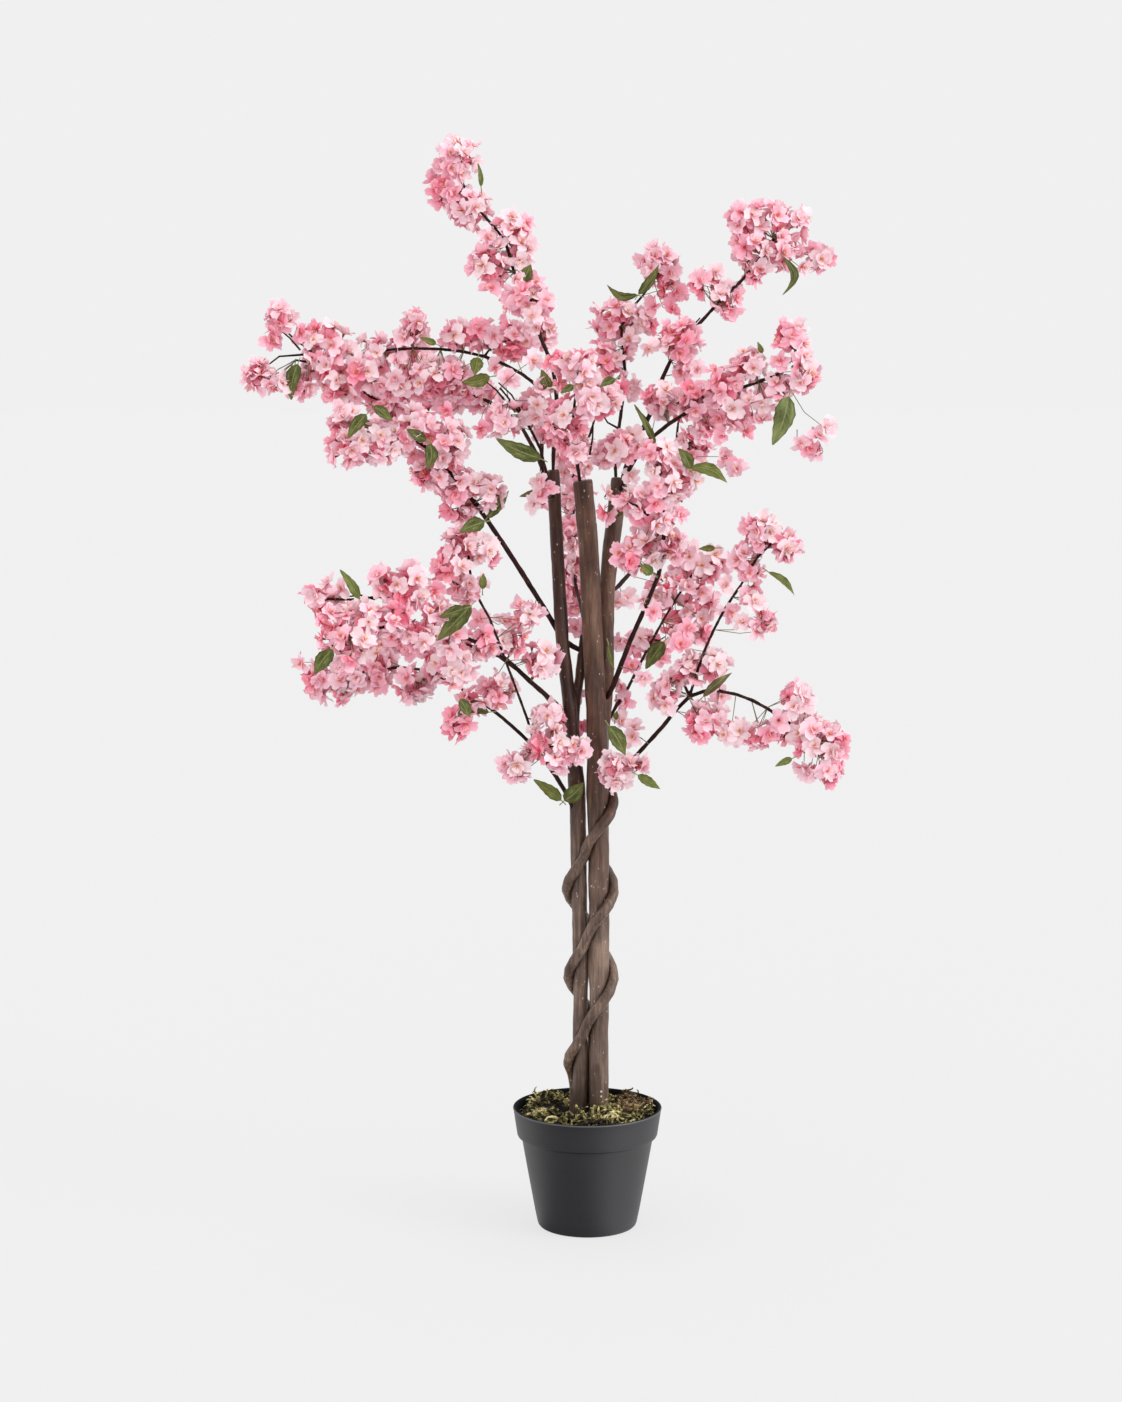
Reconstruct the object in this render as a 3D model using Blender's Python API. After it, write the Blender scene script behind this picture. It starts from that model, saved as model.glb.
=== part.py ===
"""Potted cherry tree: two cut wood poles bound with vine, plugged with wired branches of blossom.

Every length here is in millimetres and is turned into metres where a mesh is made. The origin is
the centre of the pot's foot, +Z is up and -Y is the tree's front. The poles and vines are bedded
in a cement ballast under a layer of dried moss, and each branch is a stem pushed into a hole
drilled in a pole. Blossom clusters are closed bodies bored for the stems that run through them.
"""
import math

import bmesh
import bpy
from mathutils import Matrix, Vector, noise

MM = 0.001

# ---------------------------------------------------------------- driving dimensions, mm
GAP = 0.3                 # clearance between neighbouring pieces
SPACE = 2.0               # clearance between blossom clusters of different branches
PEG_DEPTH = 0.72          # how far a stem reaches in towards a pole's axis, as a share of its radius
PEG_SHARE = 0.72          # a stem's peg radius as a share of its radius outside

POT_HEIGHT = 135.0
POT_RIM_RADIUS = 83.0
POT_FOOT_RADIUS = 53.0
POT_BAND_HEIGHT = 31.0    # the collar below the rim
POT_WALL = 3.0
POT_SIDES = 40
FILL_TOP = 116.0
MOSS_RINGS = 6
MOSS_SIDES = 32
BED_DEPTH = 20.0          # height at which poles and vines end inside the ballast

VINE_RADIUS = 5.3
VINE_PITCH = 197.0
VINE_STEPS = 16           # points in one turn
VINE_CLEARANCE = 0.9      # from the poles, measured at those points
# Each vine's turn at the floor, the height below which it runs straight down, and its top.
VINES = {"vine_first": (0.539, 165.0, 492.0), "vine_second": (0.036, 229.0, 415.0)}

TUFT_DETAIL = 0.30        # share of faces that a cluster keeps after its tufts are joined

LEAF_LENGTH = 38.0
LEAF_WIDTH = 17.0
LEAF_THICKNESS = 0.8

# Poles as x, y, z and radius from the bedded foot up to the cut top.
LEFT_POLE = [(-8.4, 5, BED_DEPTH, 7.8), (-7.6, 5, 273, 7.7), (-9.5, 4, 369, 7.5), (-12.5, 3, 481, 7.3),
             (-18, 2, 570, 7.0), (-27, 0, 647, 6.8), (-34, 0, 767, 6.5), (-38, 0, 843, 6.4)]
LEFT_LIMB = [(-16, 2, 545, 4.6), (-13, 6, 585, 4.6), (-7, 10, 630, 4.5), (-4, 12, 662, 4.4)]
CENTRE_POLE = [(13, -3, BED_DEPTH, 10.0), (13, -3, 273, 10.0), (13, -4, 369, 10.2),
               (12, -5, 481, 10.6), (11, -6, 542, 10.8), (6, -9, 647, 10.4),
               (0, -13, 767, 10.2), (-6, -15, 832, 10.0)]
RIGHT_STEM = [(13, -4, 500, 8.0), (16, 3, 560, 8.2), (20, 9, 620, 8.3), (21, 14, 714, 8.6),
              (29, 25, 781, 9.0), (35, 35, 832, 9.2)]
HOSTS = {"left_pole": LEFT_POLE, "left_limb": LEFT_LIMB, "centre_pole": CENTRE_POLE,
         "right_stem": RIGHT_STEM}

# Stems: the pole that each is pushed into, the height of its hole, its radius at the root and at
# the tip, the points it passes, and shoots as (index of the point it leaves, its own points).
# A hole height of "top" is drilled down into the cut end, at an offset in x and y.
STEMS = {
    "branch_left_long": dict(
        host="left_limb", hole=644, root=3.7, tip=1.8,
        route=[(-26, 13, 656), (-38, 6, 676), (-74, -12, 736), (-109, -22, 790), (-136, -32, 827),
               (-169, -42, 866), (-206, -52, 886), (-250, -62, 884)],
        shoots=[]),
    "branch_left_mid": dict(
        host="left_pole", hole=566, root=3.1, tip=1.4,
        route=[(-28, -5, 582), (-63, -24, 615), (-98, -44, 649), (-135, -62, 668),
               (-173, -82, 703), (-205, -94, 714), (-245, -106, 711), (-276, -118, 713)],
        shoots=[(3, [(-172, -92, 676), (-212, -118, 684), (-250, -136, 674)])]),
    "branch_left_low": dict(
        host="left_pole", hole=461, root=2.7, tip=1.3,
        route=[(-26, -10, 494), (-43, -20, 522), (-58, -22, 542), (-93, -24, 575),
               (-128, -20, 600), (-164, -10, 620), (-206, 2, 628), (-262, 16, 618)],
        shoots=[(2, [(-66, -34, 575), (-89, -52, 640), (-106, -66, 688), (-124, -76, 724),
                     (-128, -70, 762)]),
                (1, [(-44, -42, 545), (-22, -54, 548)]),
                (4, [(-138, -28, 574)])]),
    "branch_tall_left": dict(
        host="left_pole", hole="top", offset=(0, 0), root=2.6, tip=1.4,
        route=[(-37, -1, 875), (-34, -2, 919), (-39, -4, 956), (-51, -8, 985), (-63, -6, 1026),
               (-80, 0, 1056), (-90, 6, 1090), (-117, 16, 1122), (-142, 22, 1162)],
        shoots=[]),
    "branch_flat_left": dict(
        host="left_pole", hole=821, root=2.5, tip=1.3,
        route=[(-50, 7, 834), (-50, 14, 895), (-50, 20, 925), (-72, 24, 947), (-113, 28, 966),
               (-161, 28, 974), (-223, 26, 973), (-286, 22, 960), (-318, 18, 962)],
        shoots=[(4, [(-100, 30, 980), (-75, 30, 984)]),
                (7, [(-320, 22, 985), (-334, 26, 1000)])]),
    "branch_crown_left": dict(
        host="left_pole", hole=808, root=2.1, tip=1.2,
        route=[(-42, -16, 824), (-52, -32, 868), (-72, -44, 904), (-94, -54, 932)],
        shoots=[]),
    "branch_crown_centre": dict(
        host="centre_pole", hole="top", offset=(-3, -3), root=2.4, tip=1.3,
        route=[(-12, -30, 852), (-16, -54, 880), (-16, -76, 908), (-12, -100, 945)],
        shoots=[(0, [(2, -44, 884), (8, -66, 908)])]),
    "branch_tall_right": dict(
        host="right_stem", hole="top", offset=(3, 4), root=3.0, tip=1.5,
        route=[(48, 40, 862), (68, 41, 902), (83, 42, 945), (101, 45, 977), (141, 52, 1022),
               (173, 60, 1053), (205, 70, 1095)],
        shoots=[]),
    "branch_high_right": dict(
        host="right_stem", hole="top", offset=(-4, 3), root=2.3, tip=1.2,
        route=[(31, 52, 860), (36, 66, 896), (42, 82, 950), (38, 96, 1000), (62, 108, 1034),
               (82, 117, 1062)],
        shoots=[]),
    "branch_right_upper": dict(
        host="right_stem", hole=812, root=2.8, tip=1.4,
        route=[(46, 8, 846), (68, -8, 878), (109, -26, 908), (156, -40, 930), (203, -56, 948),
               (219, -60, 972)],
        shoots=[(0, [(38, -14, 862), (34, -34, 872)])]),
    "branch_right_mid": dict(
        host="right_stem", hole=588, root=3.6, tip=1.7,
        route=[(28, -12, 610), (46, -30, 661), (75, -56, 733), (80, -76, 782), (76, -94, 838)],
        shoots=[(3, [(52, -86, 808), (28, -80, 814)])]),
    "branch_right_back": dict(
        host="right_stem", hole=556, root=2.2, tip=1.2,
        route=[(32, 14, 584), (45, 24, 603), (69, 44, 648), (98, 66, 696), (124, 84, 733)],
        shoots=[]),
    "branch_right_low": dict(
        host="centre_pole", hole=486, root=2.9, tip=1.5,
        route=[(30, -8, 506), (51, -14, 530), (81, -24, 565), (110, -36, 600), (142, -46, 607),
               (177, -56, 598), (208, -66, 580), (246, -78, 556)],
        shoots=[(3, [(125, -44, 650), (146, -50, 695), (163, -56, 722), (180, -62, 752),
                     (198, -66, 770)]),
                (3, [(100, -38, 622)])]),
    "branch_front": dict(
        host="centre_pole", hole=512, root=1.8, tip=1.3,
        route=[(20, -24, 518), (29, -48, 522)],
        shoots=[]),
    "branch_back_centre": dict(
        host="left_limb", hole="top", offset=(0, 0), root=2.4, tip=1.3,
        route=[(-5, 34, 678), (-8, 90, 692), (-13, 140, 712), (-14, 164, 760), (-15, 182, 808),
               (-16, 192, 862)],
        shoots=[]),
    "branch_back_right": dict(
        host="right_stem", hole=704, root=2.7, tip=1.4,
        route=[(36, 40, 716), (59, 92, 740), (78, 145, 781), (101, 170, 832), (137, 194, 898),
               (172, 206, 920)],
        shoots=[(3, [(104, 184, 876), (108, 190, 912)])]),
    "branch_back_left_high": dict(
        host="left_pole", hole=792, root=2.6, tip=1.4,
        route=[(-44, 24, 830), (-75, 70, 892), (-123, 112, 922), (-161, 138, 927),
               (-199, 162, 924), (-235, 184, 914), (-266, 190, 934)],
        shoots=[(4, [(-196, 168, 958)])]),
    "branch_back_left": dict(
        host="left_pole", hole=546, root=2.7, tip=1.4,
        route=[(-24, 20, 560), (-47, 60, 590), (-99, 112, 628), (-151, 146, 641),
               (-195, 172, 643), (-238, 190, 642), (-276, 204, 640)],
        shoots=[(4, [(-216, 184, 672)])]),
}

# Blossom clusters as x, y, z and radius of the tufts that run together along a stem.
BLOSSOMS = {
    "blossoms_left_long": [
        (-110, -30, 820, 24), (-140, -20, 805, 24), (-145, -40, 835, 27), (-175, -45, 840, 20),
        (-150, -50, 875, 27), (-185, -50, 890, 26), (-220, -55, 875, 29), (-255, -65, 870, 26),
        (-260, -60, 900, 20)],
    "blossoms_left_rise": [
        (-130, -78, 722, 23), (-145, -75, 742, 23), (-135, -70, 765, 28), (-110, -70, 760, 20)],
    "blossoms_left_mid": [
        (-50, -35, 640, 24), (-80, -45, 660, 20), (-65, -50, 690, 19), (-110, -55, 660, 22),
        (-140, -65, 635, 24), (-150, -80, 665, 22), (-165, -100, 695, 22), (-190, -100, 725, 23),
        (-215, -100, 730, 23), (-180, -105, 675, 23), (-205, -115, 690, 27),
        (-235, -125, 690, 26), (-280, -120, 715, 23), (-260, -135, 690, 21),
        (-250, -140, 665, 25), (-270, -140, 670, 16)],
    "blossoms_low_left_inner": [
        (-100, -40, 605, 26), (-125, -35, 595, 19), (-140, -30, 572, 20)],
    "blossoms_low_left_outer": [
        (-165, -10, 625, 18), (-190, -5, 610, 26), (-230, 10, 625, 25), (-260, 15, 620, 27),
        (-295, 25, 610, 24), (-270, 20, 595, 16)],
    "blossoms_low_left_spur": [
        (-45, -40, 575, 23), (-55, -45, 550, 20), (-35, -55, 545, 24), (-10, -55, 545, 17),
        (-75, -40, 525, 20), (-30, -50, 525, 13)],
    "blossoms_tall_left_tip": [(-140, 20, 1180, 26), (-155, 25, 1150, 25), (-130, 20, 1125, 27)],
    "blossoms_tall_left_mid": [(-80, 10, 1100, 25), (-70, 5, 1075, 19), (-105, 0, 1065, 27)],
    "blossoms_tall_left_low": [(-80, -5, 1026, 18), (-55, -10, 1025, 20)],
    "blossoms_flat_left_inner": [
        (-50, 30, 990, 22), (-80, 30, 985, 26), (-115, 30, 990, 20), (-143, 30, 990, 21)],
    "blossoms_flat_left_outer": [
        (-150, 35, 940, 27), (-180, 30, 940, 29), (-215, 30, 945, 27), (-187, 25, 990, 19),
        (-190, 20, 1005, 15), (-215, 30, 980, 20), (-245, 25, 955, 29), (-270, 25, 930, 22),
        (-235, 30, 975, 20), (-275, 20, 985, 22), (-300, 20, 985, 20), (-290, 20, 955, 26),
        (-310, 15, 935, 18), (-332, 10, 936, 15), (-358, 10, 945, 22), (-335, 25, 1005, 22),
        (-320, 20, 995, 13)],
    "blossoms_crown_left": [
        (-90, -50, 900, 22), (-60, -40, 910, 24), (-45, -30, 882, 17), (-45, -40, 935, 16)],
    "blossoms_crown_centre": [
        (-25, -85, 900, 25), (-15, -65, 872, 21), (0, -95, 920, 25), (20, -90, 920, 19),
        (-10, -105, 955, 21), (-35, -95, 960, 14)],
    "blossoms_tall_right_tip": [
        (175, 65, 1115, 23), (205, 75, 1115, 27), (230, 80, 1115, 20), (180, 65, 1085, 26),
        (210, 70, 1080, 25), (185, 60, 1055, 17), (235, 80, 1090, 16), (255, 85, 1075, 20)],
    "blossoms_tall_right_mid": [(125, 50, 1045, 19), (145, 55, 1035, 22), (155, 50, 1020, 13)],
    "blossoms_tall_right_low": [(100, 40, 985, 27), (105, 40, 950, 15)],
    "blossoms_high_right": [
        (35, 100, 1010, 28), (20, 95, 990, 19), (60, 105, 1005, 21), (45, 95, 980, 17),
        (25, 85, 960, 21), (45, 75, 935, 17)],
    "blossoms_high_right_tip": [(80, 120, 1070, 26), (95, 115, 1040, 18)],
    "blossoms_right_upper": [
        (80, -5, 920, 24), (115, -25, 920, 24), (145, -40, 935, 25), (170, -45, 955, 24),
        (180, -50, 915, 22), (155, -40, 905, 24), (125, -30, 895, 19), (205, -55, 930, 18),
        (230, -60, 945, 19), (225, -60, 965, 19), (215, -60, 985, 20)],
    "blossoms_crown_right": [(35, -35, 872, 25), (15, -35, 860, 16)],
    "blossoms_right_mid": [
        (45, -70, 755, 22), (65, -70, 765, 23), (90, -70, 765, 19), (70, -80, 790, 22),
        (60, -90, 810, 23), (80, -95, 835, 26), (100, -90, 840, 20), (75, -95, 860, 24),
        (35, -80, 815, 16), (15, -80, 800, 17), (10, -75, 825, 14)],
    "blossoms_right_back": [
        (115, 85, 740, 24), (140, 90, 735, 21), (90, 70, 705, 26), (120, 80, 705, 26),
        (135, 85, 690, 20), (105, 75, 670, 23), (130, 80, 660, 19), (85, 55, 650, 16),
        (60, 50, 650, 20)],
    "blossoms_right_low_inner": [(85, -35, 610, 22), (110, -40, 630, 23), (135, -45, 635, 19)],
    "blossoms_right_low": [
        (125, -45, 575, 25), (155, -50, 565, 18), (185, -60, 560, 20), (215, -65, 570, 21),
        (225, -65, 600, 22), (245, -75, 560, 27), (265, -80, 560, 21), (255, -85, 530, 24),
        (230, -80, 525, 15)],
    "blossoms_right_rise": [
        (185, -65, 780, 25), (210, -70, 765, 23), (165, -60, 750, 17), (175, -60, 735, 17),
        (175, -60, 710, 17), (190, -60, 685, 18)],
    "blossoms_front": [(30, -50, 522, 25), (56, -50, 530, 13)],
    "blossoms_back_centre": [
        (-15, 140, 692, 23), (-15, 155, 730, 24), (-15, 165, 770, 24), (-15, 180, 808, 25),
        (-45, 168, 810, 21), (-15, 190, 850, 28)],
    "blossoms_back_right": [
        (75, 150, 775, 27), (95, 165, 815, 30), (120, 180, 860, 30), (145, 195, 905, 30),
        (175, 205, 920, 23), (110, 190, 915, 23)],
    "blossoms_back_left_high": [
        (-122, 115, 925, 24), (-155, 135, 925, 27), (-195, 160, 920, 30), (-230, 185, 908, 30),
        (-268, 190, 936, 26), (-195, 168, 962, 25)],
    "blossoms_back_left": [
        (-150, 145, 640, 26), (-190, 170, 640, 29), (-235, 190, 640, 30), (-275, 205, 632, 27),
        (-215, 185, 685, 25), (-272, 205, 670, 24)],
}

# Leaves big enough to be pieces of their own: the stem, how far along it, and which way it points.
LEAVES = {
    "leaf_low_left": ("branch_left_low", 0.045, (-0.75, -0.35, 0.45)),
    "leaf_right_low": ("branch_right_low", 0.56, (0.65, -0.60, 0.35)),
    "leaf_right_back": ("branch_right_back", 0.50, (-0.10, -0.60, 0.75)),
    "leaf_crown_left": ("branch_crown_left", 0.20, (-0.90, -0.25, 0.15)),
}

# Colour, roughness and metallic value of each finish.
FINISHES = {
    "pot_plastic": ((0.042, 0.042, 0.050), 0.55, 0.0),
    "cement": ((0.40, 0.39, 0.37), 0.90, 0.0),
    "dried_moss": ((0.110, 0.095, 0.035), 0.95, 0.0),
    "bark": ((0.110, 0.062, 0.047), 0.80, 0.0),
    "vine_bark": ((0.130, 0.080, 0.058), 0.80, 0.0),
    "stem_wrap": ((0.050, 0.028, 0.024), 0.70, 0.0),
    "blossom_silk": ((0.740, 0.350, 0.410), 0.70, 0.0),
    "leaf_silk": ((0.130, 0.170, 0.048), 0.60, 0.0),
}


# ---------------------------------------------------------------- scene and finishes
def clear_scene():
    for thing in list(bpy.data.objects):
        bpy.data.objects.remove(thing, do_unlink=True)


def finished(thing, finish):
    """Give a piece its own material of a named finish."""
    colour, roughness, metallic = FINISHES[finish]
    material = bpy.data.materials.new(thing.name + "_" + finish)
    material.use_nodes = True
    shader = material.node_tree.nodes["Principled BSDF"]
    shader.inputs["Base Color"].default_value = (*colour, 1.0)
    shader.inputs["Roughness"].default_value = roughness
    shader.inputs["Metallic"].default_value = metallic
    thing.data.materials.clear()
    thing.data.materials.append(material)
    return thing


def new_object(name, mesh_or_curve):
    thing = bpy.data.objects.new(name, mesh_or_curve)
    bpy.context.scene.collection.objects.link(thing)
    return thing


def object_from(name, bm):
    """Close a bmesh into a new object, with its faces turned outwards."""
    bmesh.ops.remove_doubles(bm, verts=bm.verts, dist=0.002 * MM)
    bmesh.ops.recalc_face_normals(bm, faces=bm.faces)
    mesh = bpy.data.meshes.new(name)
    bm.to_mesh(mesh)
    bm.free()
    return new_object(name, mesh)


def shade_smooth(thing):
    for face in thing.data.polygons:
        face.use_smooth = True


def evaluated_mesh(thing):
    depsgraph = bpy.context.evaluated_depsgraph_get()
    return bpy.data.meshes.new_from_object(thing.evaluated_get(depsgraph), depsgraph=depsgraph)


def combine(target, operation, tools):
    """Run Boolean steps on a piece and bake the result; the tools are used up."""
    for tool in tools:
        step = target.modifiers.new(operation.lower(), "BOOLEAN")
        step.operation = operation
        step.solver = "EXACT"
        step.object = tool
    mesh = evaluated_mesh(target)
    target.modifiers.clear()
    target.data = mesh
    for tool in tools:
        bpy.data.objects.remove(tool, do_unlink=True)
    return target


def simplify(thing):
    """Drop the short edges that a union leaves along its seams."""
    step = thing.modifiers.new("fewer_faces", "DECIMATE")
    step.ratio = TUFT_DETAIL
    step.use_collapse_triangulate = True
    mesh = evaluated_mesh(thing)
    thing.modifiers.clear()
    thing.data = mesh


# ---------------------------------------------------------------- round limbs
def smooth_route(points, steps=2):
    """Points along a Catmull-Rom curve through rows of numbers, all of them blended alike."""
    ends = [points[0]] + list(points) + [points[-1]]
    route = []
    for before, start, end, after in zip(ends, ends[1:], ends[2:], ends[3:]):
        for step in range(steps):
            t = step / steps
            row = []
            for a, b, c, d in zip(before, start, end, after):
                bend = (2 * a - 5 * b + 4 * c - d) * t * t
                twist = (3 * b - a - 3 * c + d) * t * t * t
                row.append(0.5 * (2 * b + (c - a) * t + bend + twist))
            route.append(tuple(row))
    return route + [tuple(points[-1])]


def lengthened(route, extra):
    """The same route with both ends moved outwards by a small length."""
    longer = [Vector(row) for row in route]
    for end, neighbour in ((0, 1), (-1, -2)):
        way = (longer[end] - longer[neighbour]).to_3d().normalized()
        longer[end] = Vector((*(longer[end].to_3d() + extra * way), longer[end][3]))
    return [tuple(row) for row in longer]


def limb(name, route, thicker=0.0, sides=8):
    """A closed round limb through x, y, z, radius rows; thicker makes it a clearance cutter."""
    rows = lengthened(route, thicker) if thicker else route
    curve = bpy.data.curves.new(name, "CURVE")
    curve.dimensions = "3D"
    curve.bevel_depth = MM
    curve.bevel_resolution = sides // 2 - 2
    curve.use_fill_caps = True
    line = curve.splines.new("POLY")
    line.points.add(len(rows) - 1)
    for point, (x, y, z, radius) in zip(line.points, rows):
        point.co = (x * MM, y * MM, z * MM, 1.0)
        point.radius = radius + thicker
    sketch = new_object(name + "_sketch", curve)
    bm = bmesh.new()
    bm.from_mesh(evaluated_mesh(sketch))
    bpy.data.objects.remove(sketch, do_unlink=True)
    return object_from(name, bm)


def at_height(route, height):
    """The x, y, z, radius row of a pole at one height."""
    for low, high in zip(route, route[1:]):
        if low[2] <= height <= high[2]:
            share = (height - low[2]) / (high[2] - low[2])
            return tuple(a + share * (b - a) for a, b in zip(low, high))
    return route[-1]


# ---------------------------------------------------------------- stems
def stem_root(spec):
    """The peg's end inside the pole, and the point where the stem comes out of it."""
    host = smooth_route(HOSTS[spec["host"]])
    first = Vector(spec["route"][0])
    if spec["hole"] == "top":
        x, y, z, radius = host[-1]
        mouth = Vector((x + spec["offset"][0], y + spec["offset"][1], z))
        return mouth - Vector((0, 0, 9)), mouth
    x, y, z, radius = at_height(host, spec["hole"])
    axis = Vector((x, y, z))
    way = (first - axis).normalized()
    flat = math.hypot(way.x, way.y)
    return axis + way * radius * (1 - PEG_DEPTH), axis + way * (radius / flat)


def stem_routes(name):
    """A stem's own route and its shoots' routes, all as x, y, z, radius rows."""
    spec = STEMS[name]
    inner, mouth = stem_root(spec)
    points = [mouth] + [Vector(point) for point in spec["route"]]
    last = len(points) - 1
    rows = [(*point, spec["root"] + (spec["tip"] - spec["root"]) * (index / last) ** 0.8)
            for index, point in enumerate(points)]
    peg = spec["root"] * PEG_SHARE
    rows[0] = (*mouth, peg)
    main = [(*inner, peg)] + smooth_route(rows)
    routes = [main]
    for index, shoot in spec["shoots"]:
        base = rows[index + 1]
        start = base[3] * 0.75
        line = [(*base[:3], start)]
        for step, point in enumerate(shoot, 1):
            share = step / len(shoot)
            line.append((*point, start + (spec["tip"] * 0.9 - start) * share))
        routes.append(smooth_route(line))
    return routes


def make_stem(name):
    main, *shoots = stem_routes(name)
    stem = limb(name, main, sides=6)
    pieces = [limb(f"{name}_shoot_{number}", route, sides=6)
              for number, route in enumerate(shoots)]
    if pieces:
        combine(stem, "UNION", pieces)
    shade_smooth(stem)
    return finished(stem, "stem_wrap")


def cutters(name, routes, sides):
    """Solids that clear a set of round limbs all round by the working gap."""
    return [limb(f"{name}_clear_{number}", route, thicker=GAP, sides=sides)
            for number, route in enumerate(routes)]


def near(rows_a, rows_b, reach):
    """Whether two sets of x, y, z, radius rows come within a reach of each other."""
    for a in rows_a:
        for b in rows_b:
            if (Vector(a[:3]) - Vector(b[:3])).length < a[3] + b[3] + reach:
                return True
    return False


# ---------------------------------------------------------------- poles and vines
def make_trunk(name, pole, fork, hosts):
    """One grown pole with its fork, drilled for the stems that its parts carry."""
    trunk = limb(name, smooth_route(pole), sides=10)
    combine(trunk, "UNION", [limb(name + "_fork", smooth_route(fork), sides=8)])
    for stem, spec in STEMS.items():
        if spec["host"] in hosts:
            combine(trunk, "DIFFERENCE", cutters(stem, stem_routes(stem)[:1], sides=6))
    shade_smooth(trunk)
    return finished(trunk, "bark")


def hugging_point(height, angle):
    """The place at one height and angle where a vine lies against the pair of poles."""
    poles = [at_height(smooth_route(pole), height) for pole in (LEFT_POLE, CENTRE_POLE)]
    middle = (Vector(poles[0][:2]) + Vector(poles[1][:2])) / 2
    way = Vector((math.cos(angle), math.sin(angle)))
    reach = 0.0
    for x, y, z, radius in poles:
        offset = Vector((x, y)) - middle
        along = offset.dot(way)
        clear = radius + VINE_RADIUS + VINE_CLEARANCE
        reach = max(reach, along + math.sqrt(clear ** 2 - offset.length_squared + along ** 2))
    return middle + way * reach


def vine_route(name):
    """Straight up out of the ballast beside the poles, then a rising coil round both of them."""
    start_turn, coil_foot, top = VINES[name]
    count = round((top - BED_DEPTH) / VINE_PITCH * VINE_STEPS)
    rows = []
    for step in range(count + 1):
        height = BED_DEPTH + (top - BED_DEPTH) * step / count
        angle = 2 * math.pi * (start_turn + max(height, coil_foot) / VINE_PITCH)
        rows.append((*hugging_point(height, angle), height, VINE_RADIUS))
    return rows


def make_vine(name):
    vine = limb(name, vine_route(name), sides=8)
    shade_smooth(vine)
    return finished(vine, "vine_bark")


def post_cutters():
    """Clearance solids of everything that stands in the ballast."""
    posts = [smooth_route(LEFT_POLE), smooth_route(CENTRE_POLE)]
    vines = [vine_route(name) for name in VINES]
    return cutters("post", posts, sides=10) + cutters("vine", vines, sides=8)


# ---------------------------------------------------------------- pot, ballast and moss
def turned(name, profile, sides):
    """Spin a closed radius, height outline round Z into one solid."""
    bm = bmesh.new()
    corners = [bm.verts.new((radius * MM, 0, height * MM)) for radius, height in profile]
    edges = [bm.edges.new(pair) for pair in zip(corners, corners[1:])]
    bmesh.ops.spin(bm, geom=corners + edges, cent=(0, 0, 0), axis=(0, 0, 1),
                   angle=2 * math.pi, steps=sides)
    return object_from(name, bm)


def pot_profiles():
    """The outside and inside outlines of the pot, from its foot up to its rim."""
    band = POT_HEIGHT - POT_BAND_HEIGHT
    rim = POT_RIM_RADIUS
    foot = POT_FOOT_RADIUS
    outside = [(0, 0), (foot, 0), (foot + 2, 0.8), (foot + 3, 3), (rim - 9.6, band - 3.5),
               (rim - 8.4, band - 2.4), (rim - 5.4, band - 0.8), (rim - 4.6, band + 0.6),
               (rim - 0.6, POT_HEIGHT - 2.6), (rim, POT_HEIGHT - 1.6), (rim - 0.4, POT_HEIGHT - 0.4),
               (rim - 1.4, POT_HEIGHT)]
    inside = [(0, POT_WALL), (foot - 1, POT_WALL), (rim - 12.6, band - 4),
              (rim - 8.6, band + 0.4), (rim - 4.2, POT_HEIGHT - 1.2), (rim - 3.4, POT_HEIGHT)]
    return outside, inside


def inner_radius(height):
    """The pot's inner radius at one height."""
    inside = pot_profiles()[1]
    for low, high in zip(inside[1:], inside[2:]):
        if low[1] <= height <= high[1]:
            share = (height - low[1]) / (high[1] - low[1])
            return low[0] + share * (high[0] - low[0])
    return inside[1][0]


def make_pot():
    outside, inside = pot_profiles()
    pot = turned("pot", outside + inside[::-1], POT_SIDES)
    return finished(pot, "pot_plastic")


def make_fill():
    """The cement ballast, cast to the pot's inside and round the bedded posts."""
    inside = pot_profiles()[1]
    wall = [(radius - GAP, height + GAP) for radius, height in inside[1:4]]
    # The polygon of a turned wall lies inside its circle, so the fill has the wall's own sides.
    rim = (inner_radius(FILL_TOP) - GAP, FILL_TOP)
    fill = turned("pot_fill", [(0, wall[0][1])] + wall + [rim, (0, FILL_TOP)], POT_SIDES)
    combine(fill, "DIFFERENCE", post_cutters())
    return finished(fill, "cement")


def moss_height(x, y):
    """The moss's lumpy top: highest round the poles and a little higher at the front."""
    mound = 7.0 * math.exp(-(x * x + y * y) / 40.0 ** 2)
    lumps = 3.4 * noise.noise(Vector((x, y, 0)) / 17.0)
    return 125.0 - 0.05 * y + mound + lumps


def make_moss():
    """A disc of moss with a flat underside and a lumpy top, laid on the ballast."""
    bottom = FILL_TOP + GAP
    bm = bmesh.new()
    crown = bm.verts.new((0, 0, moss_height(0, 0) * MM))
    rings = []
    for ring in range(1, MOSS_RINGS + 1):
        corners = []
        for side in range(MOSS_SIDES):
            angle = 2 * math.pi * side / MOSS_SIDES
            radius = (inner_radius(bottom) - 0.6) * ring / MOSS_RINGS
            x = radius * math.cos(angle)
            y = radius * math.sin(angle)
            corners.append(bm.verts.new((x * MM, y * MM, moss_height(x, y) * MM)))
        rings.append(corners)
    foot = [bm.verts.new((corner.co.x, corner.co.y, bottom * MM)) for corner in rings[-1]]
    for side in range(MOSS_SIDES):
        after = (side + 1) % MOSS_SIDES
        bm.faces.new((crown, rings[0][side], rings[0][after]))
        for inner, outer in zip(rings, rings[1:]):
            bm.faces.new((inner[side], outer[side], outer[after], inner[after]))
        bm.faces.new((rings[-1][side], foot[side], foot[after], rings[-1][after]))
    bm.faces.new(foot[::-1])
    moss = object_from("moss", bm)
    combine(moss, "DIFFERENCE", post_cutters())
    shade_smooth(moss)
    return finished(moss, "dried_moss")


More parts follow.
